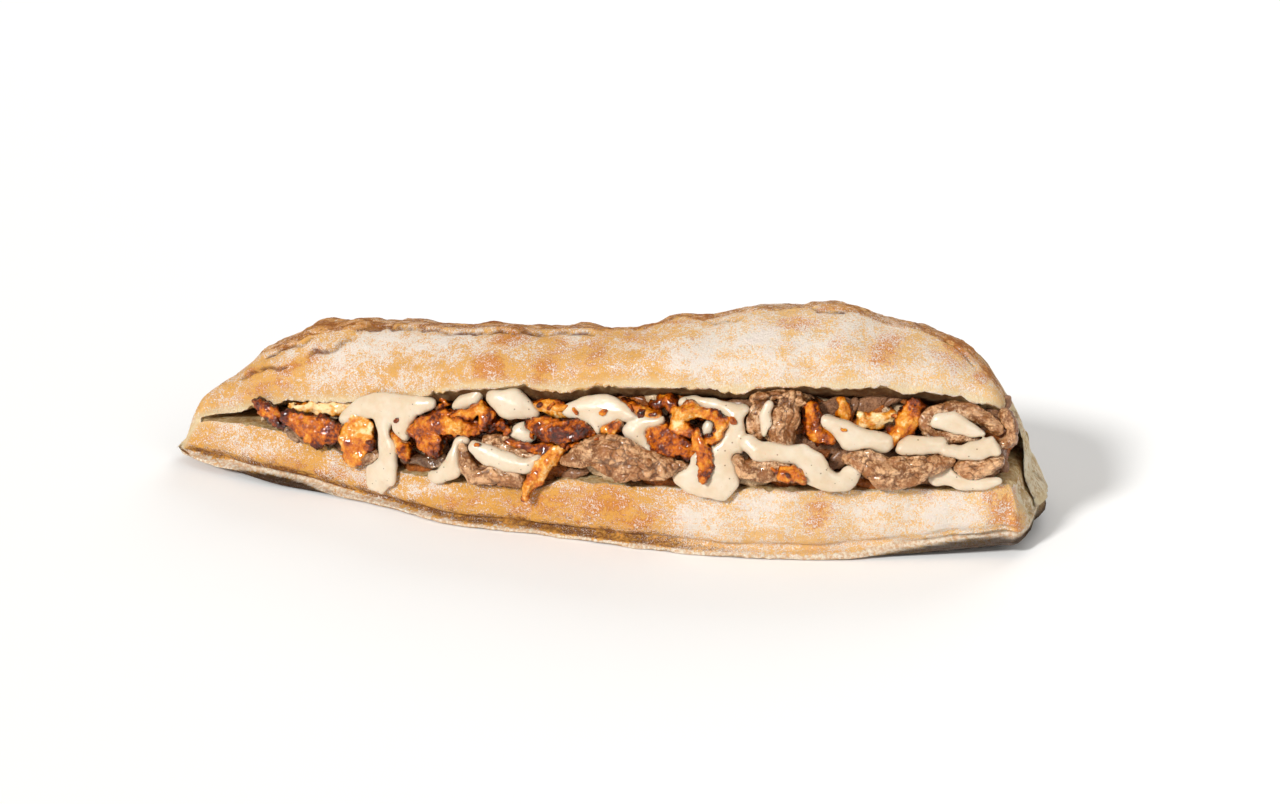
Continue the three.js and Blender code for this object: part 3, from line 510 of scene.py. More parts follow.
class Finish:
    """A material that is being written: a Principled shader and what feeds it."""

    def __init__(self, name):
        self.material = bpy.data.materials.new(name)
        self.material.use_nodes = True
        tree = self.material.node_tree
        tree.nodes.clear()
        self.start = Signal(tree, None)
        self.shader = tree.nodes.new("ShaderNodeBsdfPrincipled")
        output = tree.nodes.new("ShaderNodeOutputMaterial")
        tree.links.new(self.shader.outputs[0], output.inputs[0])
        self.place = self.start.out(self.start.node("ShaderNodeTexCoord"), "Object")

    def attribute(self, name):
        return self.start.out(self.start.node("ShaderNodeAttribute", {"attribute_name": name}), "Fac")

    def noise(self, size, detail=4.0, rough=0.6, stretch=(1, 1, 1)):
        """Noise from 0 to 1 with features about size mm across."""
        where = self.start.out(self.start.node("ShaderNodeMapping", Vector=self.place, Scale=stretch))
        made = self.start.node("ShaderNodeTexNoise", Vector=where, Scale=1 / (size * MM), Detail=detail,
                               Roughness=rough)
        return self.start.out(made)

    def grain(self, size, detail=2.0, stretch=(1, 1, 1)):
        """The same noise with its contrast raised to the full range."""
        return self.noise(size, detail, 0.6, stretch).step(0.3, 0.7)

    def specks(self, size, seed_shift=(0, 0, 0)):
        """Distance from the middle of scattered specks, in cells size mm across."""
        where = self.start.out(self.start.node("ShaderNodeMapping", Vector=self.place, Location=seed_shift))
        return self.start.out(self.start.node("ShaderNodeTexVoronoi", Vector=where, Scale=1 / (size * MM)))

    def set(self, **values):
        for name, value in values.items():
            self.start.put(self.shader.inputs[name.replace("_", " ")], value)

    def bump(self, height, depth):
        """Relief of a height from 0 to 1 that is depth mm deep."""
        made = self.start.node("ShaderNodeBump", Height=height, Distance=depth * MM, Strength=1.0)
        self.set(Normal=self.start.out(made))


# ---- the loaf

def outline_keys(x):
    """The points that shape the loaf's outline at x, mouth filled in, from the lower lip down and round."""
    f, b, base, thick = front(x), back(x), lift(x), crown(x)
    lip = np.array([f + LIP_INSET, lower_lip_z(x)])
    upper = np.array([f + upper_lip_inset(x), upper_lip_z(x)])
    pivot = np.array([b - HINGE_WALL, hinge_z(x)])
    low, rear = lip[1] - base, pivot[1] - base
    along = pivot - upper
    length = np.hypot(*along)
    rim = min(1, low / 12)
    outward = np.array([-along[1], along[0]]) / length

    def crust(s, n):
        return upper + along * s + outward * thick * n

    return np.array([
        lip,
        [f + 1.1, base + 0.74 * low],
        [f + 0.9, base + 0.48 * low],
        [f + 1.9, base + 0.27 * low],
        [f + 3.4 * rim, base + 0.16 * low],
        [f + 0.2, base + FLANGE * rim],
        [f + 0.5, base + 0.1],
        [f + 7 * rim, base],
        [(f + b) / 2, base],
        [b - 10 * rim, base],
        [b - 3 * rim, base + 0.07 * rear],
        [b - 0.3, base + 0.4 * rear],
        [b, base + 0.75 * rear],
        [b - 1.9 * rim, pivot[1] + 0.08 * thick],
        crust(1.07, 0.32),
        crust(0.97, 0.62),
        crust(0.8, 0.86),
        crust(0.58, 0.98),
        crust(0.38, 1.01),
        crust(0.2, 0.97),
        crust(0.1, 0.86),
        crust(0.015, 0.6),
        crust(-0.03, 0.32),
        upper,
        upper + (lip - upper) * 0.33,
        upper + (lip - upper) * 0.67,
    ])


def rounded(keys, steps):
    """A closed smooth outline through the points, with its own number of steps after each point."""
    i = np.repeat(np.arange(len(keys)), steps)
    t = np.concatenate([np.arange(n) / n for n in steps])[:, None]
    p, q, r, s = (keys[(i + shift) % len(keys)] for shift in (-1, 0, 1, 2))
    return 0.5 * (2 * q + (r - p) * t + (2 * p - 5 * q + 4 * r - s) * t ** 2 + (3 * q - p - 3 * r + s) * t ** 3)


# How finely the loaf and its slit are divided: rings along each, and steps from the slit's lips to its bottom.
RING_COUNT, SLIT_RING_COUNT, SLIT_STEPS = 400, 300, 48
# A loaf with fewer points than this was lost in the cut.
FEWEST_POINTS = 1000
# Steps after each point of the outline: most of them where the front and the crest show.
OUTLINE_STEPS = np.array([8, 8, 7, 6, 6, 4, 3, 3, 3, 3, 4, 5, 6, 6, 7, 7, 8, 12, 12, 12, 11, 11, 9, 4, 3, 3])


def stations(start, end, count, ease):
    t = np.arange(count + 1) / count
    return start + (end - start) * (t - ease * np.sin(2 * np.pi * t) / (2 * np.pi))


def surface_normals(rings):
    """Outward directions of a tube of rings."""
    around = np.roll(rings, -1, axis=1) - np.roll(rings, 1, axis=1)
    along = np.gradient(rings, axis=0)
    n = np.cross(around, along)
    return n / np.maximum(np.linalg.norm(n, axis=2, keepdims=True), 1e-9)


def loaf_rings(count, steps):
    """The loaf as if it had not been slit, with the lumps of a hand-shaped loaf."""
    xs = stations(TIP_X, END_X, count, 0.8)
    rings = []
    for x in xs:
        yz = rounded(outline_keys(x), steps)
        y, z = yz.T
        middle = ((front(x) + back(x)) / 2, (lift(x) + upper_lip_z(x)) / 2)
        fade = smooth(x, TIP_X, TIP_X + 14) * smooth(END_X - x, 0, 14)
        angle = np.arctan2(z - middle[1], y - middle[0])
        lump = (0.55 * np.sin(0.11 * x + 2 * angle) + 0.45 * np.sin(0.23 * x - 3 * angle + 1.3)
                + 0.3 * np.sin(0.41 * x + 5 * angle + 0.6))
        out = lump * fade * smooth(z - lift(x) - 1.5, 0, 5)
        near = smooth(x, 118, 140)
        lobe = 3.2 * np.exp(-((y - 6) / 12) ** 2 - ((z - 9) / 8) ** 2)
        dent = -2.6 * np.exp(-((y + 9) / 6) ** 2 - ((z - 14) / 12) ** 2)
        rings.append(np.stack([x + near * (lobe + dent), y + np.cos(angle) * out, z + np.sin(angle) * out],
                              axis=1))
    return np.array(rings)


def front_view(points):
    """How far across and up each point is seen from the front, in mm."""
    away = points - VIEW_TARGET
    scale = VIEW_DISTANCE / (VIEW_DISTANCE - away @ VIEW_TOWARDS)
    return away @ VIEW_RIGHT * scale, away @ VIEW_UP * scale


def distance_to_line(u, w, line):
    """Distance from each place to a line of joined points."""
    best = np.full(u.shape, 1e9)
    for (au, aw), (bu, bw) in zip(line, line[1:]):
        du, dw = bu - au, bw - aw
        t = np.clip(((u - au) * du + (w - aw) * dw) / (du * du + dw * dw), 0, 1)
        best = np.minimum(best, np.hypot(u - au - t * du, w - aw - t * dw))
    return best


def crack_depth(points, facing):
    """How deep the crust's cracks are at each point and how far the edge above each curls up, in mm."""
    u, w = front_view(points)
    jitter = 0.6 * soft_noise(points, 2.6, 7) + 0.7 * soft_noise(points, 6, 8)
    depth = np.zeros(len(u))
    curl = np.zeros(len(u))
    for line, half_width, deep in CRACKS:
        d = distance_to_line(u, w + jitter, line)
        ends = 1
        if len(line) > 3:
            ends = smooth(u, line[0][0] - 1, line[0][0] + 3) * smooth(line[-1][0] - u, -1, 3)
        height = w + jitter - np.interp(u, [q[0] for q in line], [q[1] for q in line])
        depth = np.maximum(depth, deep * np.exp(-(d / half_width) ** 2) * ends)
        curl = np.maximum(curl, deep * 0.9 * smooth(height, 0.1, 0.9) * np.exp(-np.maximum(height, 0) / 2.2)
                          * ends * smooth(6 - d, 0, 2))
    return depth * facing, curl * facing


def ear_height(points, crest):
    """How far a point stands above the torn ridge of the crust, in mm."""
    along = points[..., :1] * [1, 0, 0]
    waver = soft_noise(along.reshape(-1, 3), 7, 5).reshape(points.shape[:-1])
    return points @ VIEW_UP - crest + ear_drop(points[..., 0]) - 0.7 * waver


def crust_relief(points, crest, facing):
    """How far the crust stands out, in mm, and how dark its cracks are from 0 to 1."""
    flat = points.reshape(-1, 3)
    shape = points.shape[:-1]
    x, y, z = np.moveaxis(points, -1, 0)
    wrinkle = rough_noise(flat * [0.5, 1, 1], 5, 4, 3).reshape(shape)
    grain = rough_noise(flat, 1.3, 2, 9).reshape(shape)
    above = ear_height(points, crest)
    upper = smooth(z - upper_lip_z(x), 2, 8)
    crag = np.maximum(rough_noise(flat * [0.45, 1, 1], 3.2, 4, 41).reshape(shape), -0.1)
    crag = crag * upper * smooth(above, -1.0, 1.0)
    crumple = (rough_noise(flat, 6, 3, 47) + 0.9 * soft_noise(flat, 9, 53)).reshape(shape) * smooth(x, 130, 136)
    depth, curl = (part.reshape(shape) for part in crack_depth(flat, facing.reshape(-1)))
    pit_near, _, pit_kind = cells(flat, 7.0, 17)
    pit = (smooth(-pit_near, -0.2, -0.05) * (pit_kind > 0.72)).reshape(shape)
    bottom = lift(x) + rim_height(x)
    in_front = smooth(-(y - front(x)), -9, -4)
    band = (z - bottom) / 1.1
    rim = np.exp(-(band - 0.3) ** 2 * 2.5) * in_front
    under = smooth(-band, 0.4, 1.4) * in_front * smooth(z - lift(x), -0.5, 0.4)
    crease = np.exp(-((band - 2.4) / 0.9) ** 2) * in_front
    wave = soft_noise(np.stack([x.ravel(), 0 * x.ravel(), 0 * x.ravel()], axis=1), 8, 23).reshape(shape)
    ragged = rough_noise(flat * [1, 0.2, 0.2], 2.5, 3, 29).reshape(shape)
    body = (WRINKLE * wrinkle + GRAIN * grain + curl - depth + CRAG * crag + CRUMPLE * crumple - PIT * pit
            - SET_BACK * upper)
    away = smooth(band, 0.8, 2.4) * (1 - crease) + (1 - in_front) * smooth(z - lift(x), 0.3, 3)
    low = rim * (0.6 * wave + 0.6 * ragged - 0.6) - 1.6 * under - 0.5 * crease + 0.25 * wrinkle * in_front
    return body * np.clip(away, 0, 1) + low * (1 - smooth(band, 3, 5)), np.clip(depth / 0.8, 0, 1)


# How far the cutting shape sticks out past the end of the loaf and in front of its lips, in mm.
SLIT_OVERRUN, SLIT_REACH = 12, 14


def slit_rings(count, steps):
    """The space between the cut faces, from in front of the lips to the bottom of the cut."""
    xs = stations(SLIT_X, END_X + SLIT_OVERRUN, count, 0.3)
    rings = []
    for x in xs:
        lip = np.array([front(x) + LIP_INSET, lower_lip_z(x)])
        upper = np.array([front(x) + upper_lip_inset(x), upper_lip_z(x)])
        inner = np.array([back(x) - HINGE_WALL, hinge_z(x)])
        faces = []
        for edge, side in ((lip, -SLIT_HALF_GAP), (upper, SLIT_HALF_GAP)):
            root = inner + [0, side]
            span = np.hypot(*(root - edge))
            outside = np.linspace(-SLIT_REACH / span, 0, 8, endpoint=False)
            inside = slit_depth(x) * np.linspace(0, 1, steps + 1)
            s = np.concatenate([outside, inside])[:, None]
            faces.append(edge + (root - edge) * s)
        yz = np.vstack([faces[0], faces[1][::-1]])
        rings.append(np.column_stack([np.full(len(yz), x), yz]))
    return torn_crumb(np.array(rings))


def torn_crumb(rings):
    """The slit's rings with the pores of the crumb, its torn lips and what hangs from its ceiling."""
    half = rings.shape[1] // 2
    flat = rings.reshape(-1, 3)
    shape = rings.shape[:-1]
    near, _, kind = cells(flat * [0.8, 1, 1], 3.4, 51)
    pore = (smooth(-near, -0.42, -0.12) * (0.3 + kind)).reshape(shape)
    small, _, _ = cells(flat, 1.5, 57)
    fine = smooth(-small, -0.4, -0.15).reshape(shape)
    ragged = rough_noise(flat, 4.5, 4, 61).reshape(shape)
    gap = np.linalg.norm(rings - rings[:, ::-1], axis=2)
    room = smooth(gap, 1.5, 8)
    depth = (PORE * pore + FINE_PORE * fine + RAGGED * ragged) * room
    tear = rough_noise(flat * [1, 0.15, 0] + [0, 9, 0], 5, 4, 71).reshape(shape)
    lip_zone = np.exp(-((rings[..., 1] - front(rings[..., 0]) - 6) / 6) ** 2)
    behind_lip = rings[..., 1] - front(rings[..., 0]) - upper_lip_inset(rings[..., 0])
    hang = crumb_drop(rings[..., 0]) * smooth(behind_lip, 0.3, 4.5) * (1 + 0.5 * ragged)
    upward = np.ones(rings.shape[1])
    upward[:half] = -1
    torn = np.where(upward > 0, TORN_UPPER * np.maximum(tear, -0.3), -TORN_LOWER * tear) * lip_zone
    rings[..., 2] += depth * upward + torn * room - np.where(upward > 0, hang, 0) * room
    return rings


def patches(points, rows):
    """The strongest of the listed patches at each point."""
    u, w = front_view(points)
    bend = 3.5 * rough_noise(points, 7, 4, 101)
    total = np.zeros(len(u))
    for pu, pw, reach_u, reach_w, tilt, strength in rows:
        c, t = math.cos(math.radians(tilt)), math.sin(math.radians(tilt))
        du, dw = u - pu + bend, w - pw + 0.6 * bend
        along, across = (du * c + dw * t) / reach_u, (dw * c - du * t) / reach_w
        total = np.maximum(total, strength * np.exp(-along ** 2 - across ** 2))
    return total


def uncut_loaf(look):
    """The loaf before it is slit, with its relief, and with numbers at its points that stay on the crust."""
    rings = loaf_rings(RING_COUNT // QUICK_COARSENESS, OUTLINE_STEPS // QUICK_COARSENESS)
    crest = (rings @ VIEW_UP).max(axis=1, keepdims=True)
    normals = surface_normals(rings)
    facing = smooth(normals @ VIEW_TOWARDS, -0.15, 0.15)
    behind = smooth(-(normals @ VIEW_TOWARDS), 0.1, 0.5)
    relief, crack = crust_relief(rings, crest, facing)
    fade = smooth(rings[..., 0], TIP_X, TIP_X + 3) * smooth(END_X - rings[..., 0], 0, 3)
    shaped = rings + normals * (relief * fade * look.relief)[..., None]
    shaped[..., 2] = np.maximum(shaped[..., 2], 0.0)
    loaf = make_object("loaf", *closed_tube(shaped))
    fray = 4 + 4 * rough_noise(rings.reshape(-1, 3), 14, 4, 91).reshape(behind.shape)
    ear = ear_height(rings, crest) - fray * behind
    crack, ear, facing = (np.append(part.ravel(), [0, 0]) for part in (crack, ear, facing))
    write_attributes(loaf.data, crumb=0, crack=crack, ear=ear, facing=facing)
    return loaf


def cut_slit(loaf):
    """Takes the space between the cut faces out of the loaf, and marks those faces as crumb."""
    knife = slit_rings(SLIT_RING_COUNT // QUICK_COARSENESS, SLIT_STEPS // QUICK_COARSENESS)
    knife = make_object("slit", *closed_tube(knife))
    write_attributes(knife.data, crumb=1)
    cut = loaf.modifiers.new("slit", "BOOLEAN")
    cut.operation = "DIFFERENCE"
    cut.solver = "MANIFOLD"
    cut.object = knife
    applied(loaf)
    bpy.data.objects.remove(knife)
    if len(loaf.data.vertices) < FEWEST_POINTS:
        raise RuntimeError("the slit could not be cut")


def mark_crust(mesh):
    """Writes where the crust is toasted, floured, browned, pale or rimmed, where the crumb lies deep, and where
    light and shade are painted: shade near the base, a shadow under the foot, a highlight along the upper lip
    and shade on the crumb behind it.
    """
    points = points_of(mesh)
    x, y, z = points.T
    crumb, facing = read_attribute(mesh, "crumb"), read_attribute(mesh, "facing")
    hidden = 1 - facing
    lower_t = np.clip((z - lift(x)) / np.maximum(lower_lip_z(x) - lift(x), 1), 0, 1.3)
    inward = smooth(y, 5, 30)
    split = (lower_lip_z(x) + upper_lip_z(x)) / 2 * (1 - inward) + hinge_z(x) * inward
    top = smooth(z - split, -1.5, 1.5)
    along = points * [0.6, 1, 1]
    toast = facing * patches(points, TOAST) + hidden * (0.5 + 0.5 * rough_noise(along, 16, 3, 81))
    flour = facing * patches(points, FLOUR) + hidden * (0.35 + 0.6 * rough_noise(along, 20, 3, 83))
    rim = (z - lift(x) - rim_height(x)) / 1.3
    # Browner towards the base: partly the bake, partly painted shade just above the rim.
    brown = (1 - top) * (0.35 * smooth(-lower_t, -0.62, -0.3) + 0.6 * smooth(-rim, -5.5, -1.2))
    brown = brown * (1 - 0.8 * smooth(x, 28, 62) * facing)
    flange = smooth(-rim, -1.25, -0.7) * smooth(rim, -1.0, -0.5) * (1 - top) * smooth(facing, 0, 0.5)
    drifted = x + 22 * rough_noise(points, 22, 3, 87) * hidden
    behind_lip = y - front(x) - upper_lip_inset(x)
    write_attributes(
        mesh,
        toast=np.clip(toast, 0, 1.2),
        flour=np.clip(flour, 0, 1),
        brown=brown * (1 - flange),
        flange=flange,
        # Near-black painted shadow under the rim, where the foot lifts off the floor.
        under=smooth(-rim, 0.3, 1.0) * smooth(rim_height(x), 0.6, 1.6) * (1 - top),
        base=smooth(lift(x) + 1.2 - z, 0.0, 1.0) * hidden,
        pale=smooth(drifted, 15, 60) * (1 - 0.25 * top) + 0.25 * top,
        heel=smooth(x, 131, 138) * smooth(y - front(134), 5, 11),
        # Painted shade on the crumb deep behind the upper lip, where the lip hangs over it.
        depth=smooth(behind_lip, -0.4, 1.2) * smooth(crumb_drop(x), 0.3, 1.8) * top,
        # A pale band along the upper lip: partly the cut rim's own colour, partly a painted highlight.
        edge=np.exp(-((z - upper_lip_z(x)) / 2.2) ** 2) * facing * (1 - crumb))


def build_loaf(look):
    """The slit loaf, as one closed mesh."""
    loaf = uncut_loaf(look)
    cut_slit(loaf)
    mark_crust(loaf.data)
    loaf.data.materials.clear()
    loaf.data.materials.append(crust_finish(look))
    return loaf


# Colours of the crust and the crumb that aren't settings. Some are painted light and shade: the shadow under
# the foot, the shade on the crumb behind the upper lip and the highlight along the cut edge.
CRUST_SHADES = {name: srgb(*rgb) for name, rgb in {
    "toast on the pale side": (224, 140, 66),
    "lighter scorch": (232, 166, 92),
    "crease in the heel": (206, 172, 120),
    "heel": (255, 242, 212),
    "shaded rim": (228, 184, 138),
    "rim": (255, 242, 222),
    "baked base": (150, 96, 48),
    "lighter base": (206, 156, 98),
    # Painted shadow under the lifted foot, near black.
    "painted_shadow_under_foot": (30, 24, 18),
    "lighter underside": (66, 48, 34),
    "crack": (112, 58, 20),
    "hollow crumb": (204, 154, 84),
    "crumb": (246, 224, 174),
    "drier crumb": (178, 124, 62),
    # Painted shade on the crumb behind the upper lip.
    "crumb in painted shade behind the lip": (94, 54, 18),
    # The cut edge: partly the rim's own pale colour, partly a painted highlight.
    "cut edge with painted highlight": (248, 226, 182),
}.items()}


def crust_finish(look):
    """The material of the loaf: crust, toast, torn ridge, flour, heel, rim, base, cracks and then the crumb,
    with painted shade near the base, a painted shadow under the foot, a painted highlight along the upper lip
    and painted shade on the crumb behind it.
    """
    f = Finish("floured crust and crumb")
    shade = CRUST_SHADES
    dust = f.noise(0.42, 3, 0.7).step(0.35, 0.65)
    grit = f.grain(1.1)
    mottle = f.grain(5, 4)
    broad = f.grain(17, 3)
    streak = f.grain(3.4, 4, (0.5, 1, 1))
    toast = f.attribute("toast")
    flour = f.attribute("flour")
    pale = f.attribute("pale")

    colour = pale.tint(tuple(look.golden), tuple(look.cream))
    honeyed = (mottle * 0.3 + grit * 0.35 + dust * 0.35).step(0.3, 0.75) * 0.75
    colour = honeyed.tint(colour, tuple(look.honey))
    heat = (toast * 1.15 + (mottle - 0.5) * 0.6 + (streak - 0.5) * 0.75 + (broad - 0.5) * 0.3
            + (dust - 0.5) * 0.3 + (grit - 0.5) * 0.4).step(0.28, 0.78)
    colour = (heat * 0.95).tint(colour, pale.tint(tuple(look.toasted), shade["toast on the pale side"]))
    # Brown towards the base: partly baked colour, partly painted shade above the rim.
    brown = (f.attribute("brown") + (streak - 0.5) * 0.5 + (grit - 0.5) * 0.4
             + (mottle - 0.5) * 0.3).step(0.3, 1.15)
    colour = brown.tint(colour, tuple(look.base_brown))
    ridge = (f.attribute("ear").step(-0.3, 0.8) * (1.0 - pale * 0.15) + (mottle - 0.5) * 0.7
             + (streak - 0.5) * 0.5).step(0.3, 0.85)
    scorch = (mottle * 0.5 + streak * 0.5).step(0.3, 0.75).tint(tuple(look.ridge), shade["lighter scorch"])
    colour = (ridge * 0.9).tint(colour, scorch)
    powder = (flour * 0.72 + pale * 0.18 + 0.22 + (dust - 0.5) * 0.9 + (grit - 0.5) * 0.45
              + (mottle - 0.5) * 0.55 + (streak - 0.5) * 0.45 + (broad - 0.5) * 0.2 - heat * 0.25 - brown * 0.3
              - ridge * 0.25)
    colour = (powder.step(0.12, 0.84) * 0.88).tint(colour, tuple(look.flour))
    heel = (mottle * 0.6 + grit * 0.4).step(0.25, 0.65).tint(shade["crease in the heel"], shade["heel"])
    colour = (f.attribute("heel") * 0.8).tint(colour, heel)
    flange = (f.attribute("flange") * 1.1 + (grit - 0.5) * 0.6 + (mottle - 0.5) * 0.6).step(0.4, 0.75)
    colour = flange.tint(colour, grit.tint(shade["shaded rim"], shade["rim"]))
    baked = (mottle * 0.5 + grit * 0.5).tint(shade["baked base"], shade["lighter base"])
    colour = (f.attribute("base") * 0.8).tint(colour, baked)
    # The colours here are painted shadow, near black, under the rim where the foot lifts off the floor.
    painted_shadow_under_foot = grit.tint(shade["painted_shadow_under_foot"], shade["lighter underside"])
    colour = (f.attribute("under") * 0.9).tint(colour, painted_shadow_under_foot)
    colour = (f.attribute("crack").step(0.15, 0.9) * (0.1 + mottle * 0.85)).tint(colour, shade["crack"])
    inside = f.noise(1.8, 4, 0.7).step(0.3, 0.7).tint(shade["hollow crumb"], shade["crumb"])
    inside = (f.grain(8, 3).step(0.3, 0.9) * 0.45).tint(inside, shade["drier crumb"])
    # Painted shade, dark brown, on the crumb deep behind the upper lip.
    inside = (f.attribute("depth") * (0.8 + mottle * 0.2)).tint(inside, shade["crumb in painted shade behind the lip"])
    # Pale band along the upper lip: partly the cut rim, partly a painted highlight.
    colour = (f.attribute("edge") * 0.8).tint(colour, shade["cut edge with painted highlight"])
    crumb = f.attribute("crumb").step(0.3, 0.7)
    colour = crumb.tint(colour, inside)
    f.set(Base_Color=colour, Roughness=(crumb * -0.15 + 0.88), Specular_IOR_Level=0.2, Subsurface_Weight=0.05,
          Subsurface_Scale=0.002)
    f.bump(dust * 0.45 + grit * 0.35 + streak * 0.2, 0.6)
    return f.material


# ---- food

def node_names(kind):
    return sorted(name for name in NODES if name.startswith(kind + "_"))


def refined(name, mesh_size, rounds, swell):
    """A copy of a piece's solid with an even fine mesh and its corners rounded off."""
    made = NODES[name].copy()
    made.data = NODES[name].data.copy()
    made.parent = None
    made.matrix_world = NODES[name].matrix_world
    bpy.context.scene.collection.objects.link(made)
    remeshed(made, mesh_size)
    relax(made.data, rounds, swell)
    return made


def grain_axes(points):
    """The long, wide and thin directions of a piece."""
    centred = points - points.mean(0)
    _, _, axes = np.linalg.svd(centred, full_matrices=False)
    return centred @ axes.T


def face_direction(x):
    d = (front(x + 1) - front(x - 1)) / 2
    n = np.stack([d, -np.ones_like(d), np.full_like(d, FACE_SLOPE)], axis=-1)
    return n / np.linalg.norm(n, axis=-1, keepdims=True)


def joined(pieces, name):
    """One object out of many."""
    for other in bpy.context.selected_objects:
        other.select_set(False)
    for piece in pieces:
        piece.select_set(True)
    bpy.context.view_layer.objects.active = pieces[0]
    bpy.ops.object.join()
    made = bpy.context.view_layer.objects.active
    made.name = name
    made.data.name = name
    made.data.materials.clear()
    shade_smooth(made.data)
    return made


# How coarsely each piece of beef is cracked, from 0 for smooth slices to 1.
BEEF_COARSENESS = {"beef_folded": 1.0, "beef_shredded": 1.0, "beef_low_right": 0.7, "beef_low_left": 0.4,
                   "beef_slice_end": 0.2, "beef_low_end": 0.4}
# How dark the pieces in the shadow of the cut are, up to 1.
BEEF_DARKNESS = {"beef_dark_left": 0.75, "beef_scrap_tip": 0.5, "beef_scrap_left": 0.3}


def sauce_nearby(points, reach):
    """1 on the sauce, falling to 0 at reach mm from it."""
    sauce = bpy.data.objects.get("cream_sauce")
    if sauce is None:
        return np.zeros(len(points))
    spots = points_of(sauce.data)[::2]
    tree = kdtree.KDTree(len(spots))
    for i, spot in enumerate(spots):
        tree.insert(spot, i)
    tree.balance()
    return 1 - smooth(np.array([tree.find(p)[2] for p in points]), 0.3, reach)


def build_beef(look):
    """The strips and scraps of beef, cracked between their bundles of fibre."""
    pieces = []
    for i, name in enumerate(node_names("beef")):
        made = refined(name, look.mesh_size, 7, 0.35)
        mesh = made.data
        points = points_of(mesh)
        along = grain_axes(points)
        warp, wander = drift(points, 4, 7 * i), drift(points, 1.7, 7 * i + 60)
        coarse = BEEF_COARSENESS.get(name, 0.5)
        near, next_near, kind = cells((along + 1.9 * warp + 0.6 * wander) * [0.5, 1, 1], 3.2, i)
        some = smooth(soft_noise(points, 4.5, i + 33) + coarse - 0.6, -0.45, 0.4)
        # The cracks between bundles, cut into the relief and darkened with painted shade in the material.
        groove = (1 - smooth(next_near - near, 0.0, 0.2)) * (0.1 + 0.9 * some)
        near2, next2, _ = cells((along + 0.6 * warp + 0.35 * wander) * [0.28, 1, 1], 1.0, i + 40)
        fibre = (1 - smooth(next2 - near2, 0.0, 0.45)) * (1.25 - some)
        lump = rough_noise(points, 4.0, 3, i + 80)
        out = LUMP * lump + SWELL * (0.45 - near ** 2) + UNEVEN * (kind - 0.5) - CLEFT * groove - FIBRE * fibre
        push_out(mesh, out * look.relief)
        write_attributes(mesh, groove=groove, fibre=fibre, bundle=kind, smear=sauce_nearby(points, 2.2),
                         dark=BEEF_DARKNESS.get(name, 0))
        pieces.append(made)
    beef = joined(pieces, "beef")
    beef.data.materials.append(beef_finish(look))
    return beef


def beef_finish(look):
    f = Finish("moist cooked beef")
    mottle = f.grain(3.2, 4)
    fine = f.grain(0.8, 3)
    tone = (f.attribute("bundle") * 0.35 + mottle * 0.5 + fine * 0.25).step(0.28, 0.85)
    colour = tone.tint(tuple(look.deep), tuple(look.light))
    colour = (f.grain(7) * 0.5).tint(colour, tuple(look.warm))
    # Painted shade: dark brown in the cracks between the bundles.
    colour = (f.attribute("groove").step(0.4, 1.0) * 0.75).tint(colour, srgb(84, 46, 18))
    colour = (f.attribute("fibre").step(0.4, 1.1) * 0.3).tint(colour, srgb(96, 56, 30))
    colour = f.attribute("dark").tint(colour, srgb(46, 28, 18))
    smear = (f.attribute("smear") * 0.8 + (mottle - 0.5) * 0.9 + (fine - 0.5) * 0.4).step(0.45, 1.0)
    colour = (smear * 0.6).tint(colour, srgb(226, 192, 156))
    f.set(Base_Color=colour, Roughness=(mottle * 0.2 + 0.3), Specular_IOR_Level=0.3,
          Coat_Weight=(mottle * 0.6 + 0.25), Coat_Roughness=0.07, Subsurface_Weight=0.06,
          Subsurface_Scale=0.002)
    f.bump(fine * 0.5 + mottle * 0.5, 0.3)
    return f.material


# How pale or burnt each strip of onion is, from -1 for pale to 1 for burnt.
ONION_TONE = {
    "onion_pale": -0.75, "onion_flat": -0.2, "onion_translucent": -0.9, "onion_hanging_left": -0.35,
    "onion_back_strip": -0.3, "onion_top_middle": -0.2, "onion_back_bit": -0.3, "onion_burnt": 0.3,
    "onion_dark_scrap": 0.55, "onion_tip": 0.25, "onion_curled": 0.25, "onion_loop": 0.3,
    "onion_curl_back": 0.3, "onion_lobe_left": 0.18, "onion_hanging_right": 0.1, "onion_scrap_centre": -0.1,
    "onion_amber": 0.2, "onion_wide": 0.1, "onion_leaf": 0.15,
}
# Places where the onion stays pale and glassy, as patches in the front view.
GLASSY = [(-85.5, -7.5, 3.5, 6.5, 20, 1.0), (-104, -1.0, 7, 1.6, 0, 0.7), (-60, -9, 4, 3, 0, 0.6),
          (-66, -15.5, 5, 2, 0, 0.6), (14, -7, 4, 3, 0, 0.6), (27, -12, 2.5, 6, 0, 0.7),
          (-27, -4.5, 6, 2.5, 0, 0.4), (58, -10, 4, 2.5, 0, 0.6), (87, -4, 4, 3, 0, 0.3)]


